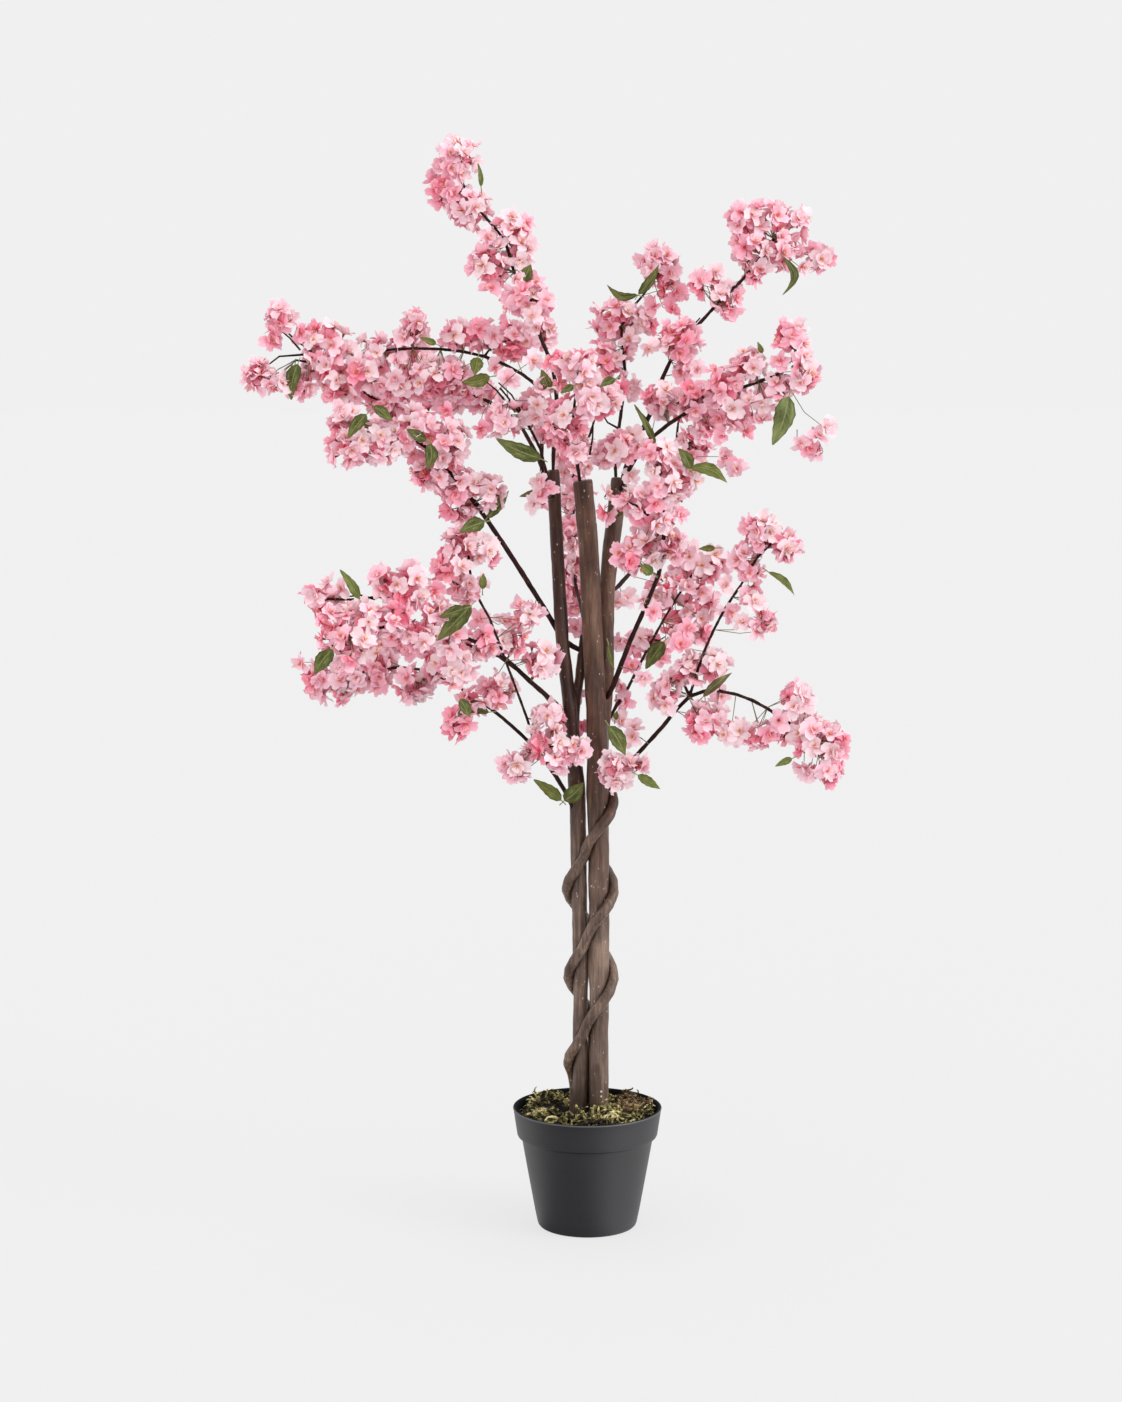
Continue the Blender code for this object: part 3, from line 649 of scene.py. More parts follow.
def petal(bm, length, width, rise, curl, turn, columns, cell, rng):
    """One petal with its foot at the origin, pointing outwards at angle turn."""
    verts = bmesh.ops.create_grid(bm, x_segments=columns, y_segments=2, size=0.5)["verts"]
    layer = map_layer(bm)
    sway, twist = rng.uniform(-0.14, 0.14), rng.uniform(-0.08, 0.28)
    cupped = rng.uniform(0.0, 0.28)
    for vert in verts:
        across, along = 2 * vert.co.x, vert.co.y + 0.5
        mark(layer, vert, cell, vert.co.x + 0.5, along)
        spread = FOOT_WIDTH + WIDENS * along - NARROWS * along ** 2
        corner = CORNER_BACK * abs(across) ** 2.5 * along
        notch = NOTCH * (1 - abs(across)) ** 2 * along ** 4
        reach = along - corner - notch + rng.uniform(-CRIMP, CRIMP) * along
        angle = rise + curl * along ** 1.5
        lift = cupped * across ** 2 * along + twist * across * along
        lift += rng.uniform(-RUFFLE, RUFFLE) * along
        vert.co = Vector((
            0.5 * width * spread * across + sway * along * length,
            length * (reach * math.cos(angle) - lift * math.sin(angle)),
            length * (reach * math.sin(angle) + lift * math.cos(angle)),
        ))
    bmesh.ops.rotate(bm, verts=verts, cent=(0, 0, 0), matrix=Matrix.Rotation(turn, 3, "Z"))
    return verts


# %% [markdown]
# ## One blossom
# A silk cherry blossom has five wide outer petals, a few smaller ones inside them, a
# peach-coloured tuft of stamens and, at the back, a little cup. Ten versions, from
# half shut to flat open, keep the heads from looking stamped.

# %% Petals of a blossom
OUTER_PETALS = 5
INNER_PETALS = (2, 3, 4, 3)
INNER_TURN = 3.4  # not a whole number, so inner petals don't fall in line with outer ones
INNER_RISE = 0.45
BLOSSOM_KINDS = 10
HALF_SHUT = 36
PETAL_LENGTH = 16.2 * MM
PETAL_WIDTH = 12.4 * MM


def add_petals(bm, kind, cell, rng):
    openness = kind / (BLOSSOM_KINDS - 1)
    rise = math.radians(HALF_SHUT - HALF_SHUT * openness)
    fifth = math.tau / OUTER_PETALS
    for number in range(OUTER_PETALS):
        size = rng.uniform(0.84, 1.1)
        petal(
            bm, PETAL_LENGTH * size, PETAL_WIDTH * size, rise + rng.uniform(-0.2, 0.2),
            rng.uniform(-0.45, 0.3), fifth * number + rng.uniform(-0.2, 0.2), 4, cell, rng,
        )
    for number in range(INNER_PETALS[kind % len(INNER_PETALS)]):
        size = rng.uniform(0.85, 1.15)
        inner = petal(
            bm, PETAL_LENGTH * 0.62 * size, PETAL_WIDTH * 0.66 * size,
            rise + INNER_RISE + rng.uniform(-0.25, 0.3), rng.uniform(-0.3, 0.5),
            math.tau * (number + 0.5) / INNER_TURN + rng.uniform(-0.3, 0.3), 2, cell, rng,
        )
        bmesh.ops.translate(bm, verts=inner, vec=(0, 0, 0.8 * MM))


# %% Heart and cup of a blossom
STAMENS = 4
STAMEN_LENGTH = 4.6 * MM
STAMEN_WIDTH = 0.9 * MM


def add_heart(bm, rng):
    layer = map_layer(bm)
    heart = bmesh.ops.create_cone(
        bm, segments=5, radius1=1.5 * MM, radius2=0.9 * MM, depth=2.4 * MM, cap_ends=True,
        matrix=Matrix.Translation((0, 0, 1.4 * MM)),
    )["verts"]
    pin(bm, heart, STAMEN, 0.15)
    for number in range(STAMENS):
        stamen = bmesh.ops.create_grid(bm, x_segments=1, y_segments=1, size=0.5)["verts"]
        tilt = math.radians(rng.uniform(18, 50))
        for vert in stamen:
            along = vert.co.y + 0.5
            mark(layer, vert, STAMEN, 0.5, 0.2 + 0.75 * along)
            vert.co = Vector((
                vert.co.x * STAMEN_WIDTH * (0.7 + along),
                0.6 * MM + along * STAMEN_LENGTH * math.sin(tilt),
                2 * MM + along * STAMEN_LENGTH * math.cos(tilt),
            ))
        turn = Matrix.Rotation(math.tau * (number + rng.random()) / STAMENS, 3, "Z")
        bmesh.ops.rotate(bm, verts=stamen, cent=(0, 0, 0), matrix=turn)
    cup = bmesh.ops.create_cone(
        bm, segments=4, radius1=0.7 * MM, radius2=1.7 * MM, depth=4 * MM, cap_ends=False,
        matrix=Matrix.Translation((0, 0, -1.9 * MM)),
    )["verts"]
    pin(bm, cup, CALYX)


# %% Build the versions
blossoms = {}


def blossom(kind, cell):
    """A mesh of one blossom at the origin, facing up."""
    if (kind, cell) not in blossoms:
        rng = random.Random(kind * 31 + 7)
        bm = bmesh.new()
        add_petals(bm, kind, cell, rng)
        add_heart(bm, rng)
        blossoms[kind, cell] = small_mesh(bm)
    return blossoms[kind, cell]


print("a blossom has", len(blossom(0, 0).polygons), "faces")

# %% [markdown]
# ## Silk
# Petal silk is thin dyed cloth: light comes through it, it is deep rose at the heart
# and fades to near white at the edge, and fine ribs run along it. The finish reads
# only the map, so every petal of a shade shares the same small picture. The map's top
# row holds the stamens with their pale tips, the cup and the stalk.

# %% Petal silk
SHADE_STOPS = (0.0, 0.35, 0.65, 1.0)  # from the darkest petals to the palest
PETAL_TONES = [
    (tone(222, 52, 92), tone(246, 96, 132), tone(252, 150, 172), tone(255, 214, 206)),  # heart
    (tone(252, 130, 158), tone(255, 188, 207), tone(254, 223, 234), tone(252, 238, 242)),  # blade
    (tone(255, 174, 196), tone(255, 216, 228), tone(255, 234, 241), tone(252, 238, 242)),  # rim
]


def silk():
    finish = Finish("blossom_silk")
    where, right, up = read_map(finish)
    column, row, along = right.whole(), up.whole(), in_cell(up)
    shade = (column + row * CELLS) / (PETAL_SHADES - 1)
    heart, blade, rim = (finish.ramp(shade, *zip(SHADE_STOPS, tones)) for tones in PETAL_TONES)
    stretch = finish.node("ShaderNodeMapping", None, {"Vector": where, "Scale": (120, 9, 1)})
    ribs = finish.clouds(stretch, 1)
    colour = finish.mix((along + (ribs - 0.5) * 0.35).between(0.0, 0.5), heart, blade)
    border = along + (ribs - 0.5) * 0.3
    colour = finish.mix(border.between(0.72, 1.0) * 0.75, colour, rim)
    colour = finish.mix(ribs.between(0.55, 0.75) * 0.14, colour, heart)
    throat = (1 - along.between(0.02, 0.2)) * shade.between(0.4, 0.6)
    colour = finish.mix(throat * 0.85, colour, tone(222, 168, 110))
    other = finish.ramp(
        column / CELLS + 0.125,
        (0.0, tone(222, 150, 104)), (0.25, tone(222, 150, 104)),
        (0.26, tone(150, 74, 80)), (0.5, tone(150, 74, 80)),
        (0.51, tone(132, 116, 84)), (0.75, tone(132, 116, 84)),
    )
    tips = along.between(0.55, 0.8) * (1 - column.between(0.4, 0.6))
    other = finish.mix(tips, other, tone(250, 214, 150))
    colour = finish.mix(row.between(2.4, 2.6), colour, other)
    cloth = finish.plain(
        base_color=colour, roughness=0.72, sheen_weight=0.2, sheen_roughness=0.4,
        specular_ior_level=0.25, normal=finish.bump(ribs, 0.5 * MM, 0.5),
    )
    warmed = finish.mix(1.0, colour, tone(255, 168, 188), "MULTIPLY")
    through = finish.node("ShaderNodeBsdfTranslucent", None, {"Color": warmed})
    return finish.show(finish.blend(0.22, cloth, through))


blossom_silk = silk()

# %% [markdown]
# ## Spreading blossoms over a head
# A CAD cluster is a lumpy body that says where a head of blossom is. Darts are
# thrown at its surface, and one that lands too near an earlier one is dropped. What is
# left is evenly crowded but follows no pattern, as flowers pushed together are.


# %% Throw darts
DARTS = 25  # for each square with the gap as its side
NEIGHBOURS = [(i, j, k) for i in (-1, 0, 1) for j in (-1, 0, 1) for k in (-1, 0, 1)]


def spread(bm, gap, rng):
    """Points on a surface and the way out of it there, none nearer than gap."""
    bmesh.ops.triangulate(bm, faces=bm.faces)
    faces = list(bm.faces)
    total, sums = 0.0, []
    for face in faces:
        total += face.calc_area()
        sums.append(total)
    kept, boxes = [], {}
    for _ in range(int(total / gap ** 2 * DARTS)):
        face = rng.choices(faces, cum_weights=sums)[0]
        low, high = sorted((rng.random(), rng.random()))
        shares = (low, high - low, 1 - high)
        point = sum((vert.co * share for vert, share in zip(face.verts, shares)), Vector())
        box = [int(side // gap) for side in point]
        around = [(box[0] + i, box[1] + j, box[2] + k) for i, j, k in NEIGHBOURS]
        if any((point - other).length < gap for key in around for other in boxes.get(key, ())):
            continue
        boxes.setdefault(tuple(box), []).append(point)
        out = sum((vert.normal * share for vert, share in zip(face.verts, shares)), Vector())
        kept.append((point, out.normalized()))
    return kept


# %% [markdown]
# Each blossom is set a little below the surface, turned out of it with some disorder,
# and joined to one of the wires near it by a thin stalk. Where the wires are too far
# off, it gets a stub that points at them. Flowers deep in a head get a darker rose as
# painted shade, and of the outer ones those that face the light get paler shades as
# painted light.

# %% Find the wires
wire_points = [vert.co.copy() for node in branch_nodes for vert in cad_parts[node].data.vertices]
nearest_wire = kdtree.KDTree(len(wire_points))
for number, point in enumerate(wire_points):
    nearest_wire.insert(point, number)
nearest_wire.balance()
print(len(wire_points), "places on the wires")

# %% Plant one blossom
STALK_REACH = 45 * MM
STUB = 13 * MM
SHORTEST_STALK = 6 * MM
BACK_OF_CUP = 4.2  # in mm
FARTHER = 1.2  # a stalk may go to wires this many times as far off as the nearest one


def add_rod(bm, route, start, end, sides, cell):
    """A thin open rod in one colour of the map."""
    stem = bmesh.new()
    pin(stem, shoot(stem, route, start, end, sides, closed=False), cell)
    stem_mesh = small_mesh(stem)
    bm.from_mesh(stem_mesh)
    bpy.data.meshes.remove(stem_mesh)


def plant(bm, centre, out, kind, cell, size, spin, rng, reach=STALK_REACH):
    turn = out.to_track_quat("Z", "Y").to_matrix().to_4x4() @ Matrix.Rotation(spin, 4, "Z")
    add_copy(bm, blossom(kind, cell), Matrix.Translation(centre) @ turn @ Matrix.Scale(size, 4))
    back = centre - out * BACK_OF_CUP * MM * size
    away = nearest_wire.find(centre)[2]
    foot = rng.choice(nearest_wire.find_range(centre, away * FARTHER + 4 * MM))[0]
    apart = (foot - back).length
    if apart > reach:
        foot = back + (foot - back) * STUB / apart
        apart = STUB
    if apart > SHORTEST_STALK:
        bend = back - out * 0.35 * apart
        add_rod(bm, [foot, (foot + bend * 2 + back) / 4, back], 0.55 * MM, 0.4 * MM, 3, STALK)


# %% Fill the heads
BLOSSOM_GAP = 18 * MM
INNER_GAP = 34 * MM
OUTER_DEPTH, INNER_DEPTH = (6, 12), (17, 20)  # in mm below the surface of the head
OUTER_SIZE, INNER_SIZE = (0.84, 1.06), (0.8, 0.95)
OUTER_TILT, INNER_TILT = 0.42, 0.35
# darker rose cells for blossoms deep in a head: painted shade
PAINTED_SHADE_INNER = (1, 5)
# outer blossoms that face this way get paler shades: painted light
LIGHT_SIDE = Vector((0.75, -0.25, 0.6))
MIDDLE_SHADE, PAINTED_LIGHT_SHADES, MIXED_SHADES = 7.2, 3.0, 2.5
DARKEST_OUTER = 2
BARE_HEAD = "blossoms_right_mid"
BARE_TO = Vector((20, 0, 860)) * MM
PALER = {"blossoms_front": 2.5, "blossoms_tall_left_tip": 1, "blossoms_right_low_inner": 1.5}
heads = sorted(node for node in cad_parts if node.startswith("blossoms_"))
FACES_BACK = 0.85
planted = 0
backs = []  # for each head its places that face backwards, where leaves go later
for node in heads:
    rng = random.Random(node)
    bm = bmesh.new()
    map_layer(bm)
    body = welded(node)
    outer = spread(body, BLOSSOM_GAP, rng)
    inner = spread(body, INNER_GAP, rng)
    body.free()
    if node == BARE_HEAD:  # the sawn end of the centre pole stays in sight
        outer = [(point, out) for point, out in outer if point.x > BARE_TO.x or point.z > BARE_TO.z]
    for point, out in outer:
        aim = (out + Vector([rng.gauss(0, OUTER_TILT) for _ in range(3)])).normalized()
        # paler where a blossom faces the light: painted light
        pale = MIDDLE_SHADE + PAINTED_LIGHT_SHADES * out.dot(LIGHT_SIDE) + PALER.get(node, 0)
        cell = min(PETAL_SHADES - 1, max(DARKEST_OUTER, round(rng.gauss(pale, MIXED_SHADES))))
        plant(
            bm, point - out * rng.uniform(*OUTER_DEPTH) * MM, aim, rng.randrange(BLOSSOM_KINDS), cell,
            rng.uniform(*OUTER_SIZE), rng.uniform(0, math.tau), rng,
        )
    for point, out in inner:
        aim = (out + Vector([rng.gauss(0, INNER_TILT) for _ in range(3)])).normalized()
        plant(
            bm, point - out * rng.uniform(*INNER_DEPTH) * MM, aim, rng.randrange(BLOSSOM_KINDS),
            rng.randrange(*PAINTED_SHADE_INNER), rng.uniform(*INNER_SIZE), rng.uniform(0, math.tau), rng,
        )
    planted += len(outer) + len(inner)
    backs.append([(point, out) for point, out in outer if out.y > FACES_BACK])
    piece("silk_" + node, bm, blossom_silk, [node])
print(planted, "blossoms in", len(heads), "heads")

# %% [markdown]
# Single blossoms stand away from the heads on longer stalks, so the outline of the
# crown is loose and not a row of balls. Some of them line bare wire, as the tall one on
# the left, and some half hide the small brown leaf on the left of the crown.

# %% Single blossoms
SINGLES = [  # x, y, z in mm
    (244, -55, 881), (225, -56, 874), (252, -57, 891), (246, -54, 864), (236, -50, 868),
    (155, 120, 854), (165, 110, 843), (155, 130, 848), (166, 60, 842), (50, -20, 563),
    (41, 18, 587), (42, 27, 702), (-6, 25, 559), (-11, 25, 594), (-102, 25, 953), (-86, -40, 942),
    (-59, -80, 961), (75, 100, 1022), (95, 104, 1018), (66, 30, 975), (-105, -7, 1038),
    (-57, -4, 1045), (144, -46, 882), (167, -42, 886), (185, -53, 898), (47, 7, 837),
    (155, 80, 711), (153, -49, 693), (165, -59, 682), (180, -64, 674), (83, 50, 633),
    (100, -42, 657), (37, 20, 604), (48, 34, 626), (59, -43, 622), (70, -39, 598), (84, -52, 593),
    (143, -42, 601), (37, 10, 567), (49, -43, 557), (-13, 19, 669), (-118, -55, 686),
    (-91, -45, 682), (-260, -113, 723), (-280, -140, 690), (-187, -46, 862), (70, -43, 692),
    (268, -90, 549), (-90, -40, 527), (-316, 20, 630), (97, -70, 798), (202, -62, 961),
    (120, 42, 952), (-164, -86, 718), (-151, -52, 908), (33, 20, 697), (59, -43, 705),
    (-345, 20, 983), (236, 70, 1064), (-108, -4, 1094), (140, 51, 1057), (163, 62, 1031),
    (-115, -50, 889), (37, 40, 653), (-78, -24, 1048), (-69, -26, 1035), (-66, -22, 1021),
    (-60, -26, 1009), (-55, -22, 997), (-74, -20, 1024), (-52, -34, 833), (-51, -36, 818),
    (-58, -32, 808), (-44, -34, 824),
]
SINGLE_REACH = 80 * MM
rng = random.Random(21)
singles = bmesh.new()
map_layer(singles)
for place in SINGLES:
    out = Vector((rng.gauss(0.2, 0.6), -1, rng.gauss(0.1, 0.5))).normalized()
    kind, cell, size = rng.randrange(BLOSSOM_KINDS), rng.randrange(4, 11), rng.uniform(0.85, 1)
    plant(singles, Vector(place) * MM, out, kind, cell, size, rng.uniform(0, math.tau), rng, SINGLE_REACH)
piece("single_blossoms", singles, blossom_silk)
print(len(SINGLES), "single blossoms")

# %% [markdown]
# Thin twigs fork off the wires and show between the heads.

# %% Twigs
TWIGS = [  # three points each, in mm
    [(-312, 6, 973), (-324, 14, 986), (-337, 25, 996)],
    [(-307, 9, 968), (-336, 20, 966), (-360, 32, 949)],
    [(-226, -101, 711), (-241, -108, 716), (-257, -111, 714)],
    [(1, -71, 862), (4, -74, 880), (5, -75, 904)],
    [(31, -57, 890), (20, -68, 896), (13, -78, 907)],
    [(52, 2, 910), (62, -4, 900), (72, -9, 873)],
    [(-89, -56, 919), (-98, -56, 930), (-108, -53, 938)],
    [(-72, -43, 907), (-82, -50, 925), (-96, -53, 938)],
    [(26, 11, 570), (28, 11, 579), (32, 12, 588)],
    [(75, 41, 654), (80, 54, 652), (87, 68, 655)],
    [(114, 60, 993), (117, 54, 1001), (123, 47, 1008)],
]
TWIG_FOOT, TWIG_TIP = 1.3 * MM, 0.7 * MM
twigs = bmesh.new()
for route in TWIGS:
    shoot(twigs, [Vector(point) * MM for point in route], TWIG_FOOT, TWIG_TIP, 6)
piece("small_twigs", twigs, tape)

# %% [markdown]
# ## Moss
# Dried moss hides the cement. It is a springy mat of thin curled strands over dark
# gaps. The CAD moss gives the mat's height. It is roughened here into lumps, heaped up
# in some spots and pressed down in others, and a few hundred curled strands lie on its
# clumps and leave the gaps between them open. The mat is painted near black as the
# shade in those gaps, and the strands have paler tones of the same finish, partly
# their own colour and partly painted light.


# %% Moss finishes
DRY_PATCH = (54 * MM, 18 * MM, 132 * MM)  # the middle of a withered brown patch


def moss_finish(name, *stops):
    finish = Finish(name)
    tangle = finish.clouds(finish.place(), 900, detail=5, rough=0.7)
    patch = finish.clouds(finish.place(), 190, detail=2)
    broad = finish.clouds(finish.place(), 38, detail=1)
    colour = finish.ramp(tangle * 0.1 + patch * 0.5 + broad * 0.4, *stops)
    brown = finish.mix(patch.between(0.4, 0.6), tone(58, 40, 24), tone(160, 128, 92))
    away = finish.vector("DISTANCE", finish.place(), DRY_PATCH)
    dry = (1 - (away + (patch - 0.5) * 0.03).between(20 * MM, 30 * MM)) * 0.85
    colour = finish.mix(dry, colour, brown)
    normal = finish.bump(tangle, 1.2 * MM, 1.0)
    return finish.show(finish.plain(base_color=colour, roughness=0.95, normal=normal))


# the mat's near-black tones are painted shade for the gaps between the strands
bed_shade_finish = moss_finish(
    "moss_bed_shade", (0.44, tone(7, 6, 3)), (0.52, tone(17, 13, 6)), (0.58, tone(56, 49, 24)),
    (0.64, tone(118, 108, 62)),
)
# the strands' paler tones are partly their own colour and partly painted light
strand_finish = moss_finish(
    "moss_strands", (0.42, tone(28, 20, 9)), (0.48, tone(84, 76, 36)), (0.54, tone(160, 149, 86)),
    (0.61, tone(236, 222, 168)),
)

# %% Mat of moss
WALL_ROOM = 77 * MM  # how far from the middle of the pot the moss may reach
BED_LAYERS = [(2.6 * MM, 7 * MM), (1.2 * MM, 2.4 * MM)]  # height and width of the lumps
BED_RISE = 1 * MM
BACK_RISE = 6 * MM
CLUMP_HEIGHT, CLUMP_WIDTH = 6 * MM, 15 * MM
FACES_UP = 0.3
HEAPS = [  # x, y in mm and how far the moss is heaped up, or pressed down, round there
    (16, -24, 1.0), (-24, 18, -1.4), (-10, -8, -0.9), (-48, 34, 1.5), (48, 38, 1.4),
    (-62, -4, 0.6), (64, -8, 0.5),
]
HEAP_WIDTH = 18 * MM


def clump(place):
    """How high the moss stands at a place: above 0 in a clump, below 0 in a gap."""
    level = noise.noise(Vector((place.x, place.y, 60 * MM)) / CLUMP_WIDTH)
    for x, y, share in HEAPS:
        apart = (place.xy - Vector((x, y)) * MM).length
        level += share * math.exp(-(apart / HEAP_WIDTH) ** 2)
    return level


bed = even_skin("moss", grain=1.6 * MM, passes=2)
for vert in bed.verts:
    if vert.normal.z > FACES_UP:
        back = max(0, vert.co.y) / WALL_ROOM
        vert.co.z += BED_RISE + BACK_RISE * back + CLUMP_HEIGHT * clump(vert.co)
        vert.co.z += sum(height * noise.noise(vert.co / across) for height, across in BED_LAYERS)
bed_top = bed.copy()
piece("moss_mat", bed, bed_shade_finish, ["moss"])


# %% Curled strands
STRAND_LENGTH, STRAND_THICK = (12, 24), (1.1, 2.1)
STRAND_STEPS = 7
STRAND_KINDS = 60


def moss_strand(rng):
    """A curled strand that arches over the mat, with two short side shoots."""
    bm = bmesh.new()
    heading = Vector((1, 0, rng.uniform(0.1, 1.3))).normalized()
    arch = Matrix.Rotation(rng.uniform(0.12, 0.46), 3, "Y")
    curl = arch @ Matrix.Rotation(rng.uniform(-0.45, 0.45), 3, "Z")
    length = rng.uniform(*STRAND_LENGTH) * MM
    thick = rng.uniform(*STRAND_THICK) * MM
    route = [Vector((-3 * MM, 0, -1 * MM))]
    for _ in range(STRAND_STEPS):
        route.append(route[-1] + heading * length / STRAND_STEPS)
        heading = (curl @ heading).normalized()
    shoot(bm, route, thick, thick * 0.45, 4)
    for start in (2, 4):
        aside = Vector((rng.uniform(0, 0.6), rng.choice((-1, 1)), rng.uniform(-0.3, 0.8))).normalized()
        foot = route[start]
        tip = foot + aside * rng.uniform(3, 6) * MM
        shoot(bm, [foot, (foot + tip) / 2 + Vector((0, 0, 0.8 * MM)), tip], thick * 0.6, thick * 0.35, 3)
    return small_mesh(bm)


# %% Lay the strands
STRAND_GAP = 5 * MM
FOOT_ROOM = 73 * MM  # how far from the middle of the pot a strand may be rooted
GAP_LEVEL = -0.08  # lower places than this stay open gaps
STEEP = 0.25
LIFTED = Vector((0, 0, 0.6))
top_of_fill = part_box("pot_fill")[1].z
rng = random.Random(12)
strand_kinds = [moss_strand(rng) for _ in range(STRAND_KINDS)]
strands = bmesh.new()
under = [face for face in bed_top.faces if face.normal.z < STEEP]
bmesh.ops.delete(bed_top, geom=under, context="FACES")
bed_top.normal_update()
laid = 0
for point, out in spread(bed_top, STRAND_GAP, rng):
    if point.xy.length < FOOT_ROOM and point.z > top_of_fill and clump(point) > GAP_LEVEL:
        lean = (out + LIFTED).to_track_quat("Z", "Y").to_matrix().to_4x4()
        turn = Matrix.Rotation(rng.uniform(0, math.tau), 4, "Z")
        add_copy(strands, rng.choice(strand_kinds), Matrix.Translation(point) @ lean @ turn)
        laid += 1
bed_top.free()
for vert in strands.verts:
    if vert.co.xy.length > WALL_ROOM:
        vert.co.xy *= WALL_ROOM / vert.co.xy.length
piece("moss_strands", strands, strand_finish)
print(laid, "strands of moss")

# %% [markdown]
# ## Leaves
# A few silk leaves sit among the blossom: olive green, pointed, with a toothed edge
# and a crease along the middle. A leaf is a grid like a petal, shaped by an outline,
# folded along its rib and drooped towards the tip. The map's first row holds the four
# shades of leaf, three greens and a dull brown.

# %% Leaf shape
BROWN = 3
LEAF_ROWS = 10
FULLEST, BLUNT = 0.72, 0.95  # how near the foot a leaf is widest, and how blunt its ends are
TOOTH_OUT, TOOTH_IN = 0.07, -0.04
THINNEST = 0.25 * MM
WAVE, WAVES = 0.04, 8  # the two edges wave up and down along the leaf


def leaf(bm, foot, tip, width, bow, shade, rng):
    """One leaf from foot to tip, which bulges sideways by bow."""
    verts = bmesh.ops.create_grid(bm, x_segments=4, y_segments=LEAF_ROWS, size=0.5)["verts"]
    layer = map_layer(bm)
    way = tip - foot
    length = way.length
    way.normalize()
    towards = Vector((rng.uniform(-0.3, 0.3), -1, rng.uniform(-0.1, 0.5)))
    side = way.cross(towards).normalized()
    up = side.cross(way).normalized()
    fold, droop = rng.uniform(0.12, 0.4), rng.uniform(0.0, 0.18)
    for vert in verts:
        across, along = 2 * vert.co.x, vert.co.y + 0.5
        mark(layer, vert, shade, vert.co.x + 0.5, along)
        tooth = 1 + (TOOTH_OUT if round(along * LEAF_ROWS) % 2 else TOOTH_IN) * abs(across)
        outline = math.sin(math.pi * min(1, along ** FULLEST)) ** BLUNT
        half = 0.5 * width * outline * tooth + THINNEST
        lift = fold * abs(across) * half - droop * length * along ** 2
        lift += WAVE * length * math.sin(WAVES * along) * across
        vert.co = (
            foot + way * length * along
            + side * (across * half + bow * math.sin(math.pi * along))
            + up * lift
        )
    stem = [foot - way * 7 * MM + up * -2 * MM, foot - way * 3 * MM, foot + way * MM]
    add_rod(bm, stem, 0.7 * MM, 0.5 * MM, 4, BROWN)


# %% [markdown]
# Printed silk shows a pale middle rib with slanting veins, mottled greens and a darker
# brownish rim. Pale patches and a lighter tip are painted highlights. All of it is
# worked out from the place across and along the leaf.


# %% Leaf silk
def leaf_silk():
    finish = Finish("leaf_silk")
    where, right, up = read_map(finish)
    column, across, along = right.whole(), in_cell(right), in_cell(up)
    from_rib = (across - 0.5).unsigned() * 2
    rib = 1 - from_rib.between(0.03, 0.1)
    veins = ((along - from_rib * 0.22) * 9).fraction()
    vein = 1 - (veins - 0.5).unsigned().between(0.03, 0.12)
    stretch = finish.node("ShaderNodeMapping", None, {"Vector": where, "Scale": (14, 14, 1)})
    cloud = finish.clouds(stretch, 1, 4)
    colour = finish.ramp(
        column / CELLS + 0.1, (0.0, tone(74, 81, 36)), (0.33, tone(110, 118, 46)),
        (0.6, tone(120, 134, 80)), (0.85, tone(98, 78, 54)),
    )
    colour = finish.mix(cloud.between(0.38, 0.7) * 0.7, colour, tone(50, 54, 22))
    # pale patches: painted highlight
    colour = finish.mix((1 - cloud.between(0.3, 0.46)) * 0.35, colour, tone(166, 176, 118))
    # lighter towards the tip: painted highlight
    colour = finish.mix(along.between(0.3, 0.9) * 0.22, colour, tone(150, 154, 84))
    colour = finish.mix(rib * 0.6 + vein * 0.25, colour, tone(152, 156, 104))
    colour = finish.mix(from_rib.between(0.72, 1.0) * 0.5, colour, tone(62, 54, 26))
    normal = finish.bump(cloud * 0.3 - rib * 0.5 - vein * 0.3, 0.5 * MM, 0.7)
    cloth = finish.plain(base_color=colour, roughness=0.5, specular_ior_level=0.3, normal=normal)
    through = finish.node("ShaderNodeBsdfTranslucent", None, {"Color": colour})
    return finish.show(finish.blend(0.2, cloth, through))


leaf_finish = leaf_silk()

# %% [markdown]
# The CAD part has the four leaves that stand clear of the blossom, and each gets a
# silk leaf of its own. The others peep out between the flowers, so they are listed
# by where their foot and tip are, how far back they sit, how wide they are and how
# far they bulge to one side. At the back each head gets one small leaf, aimed at the
# middle of its own places there so that it stays within the head.

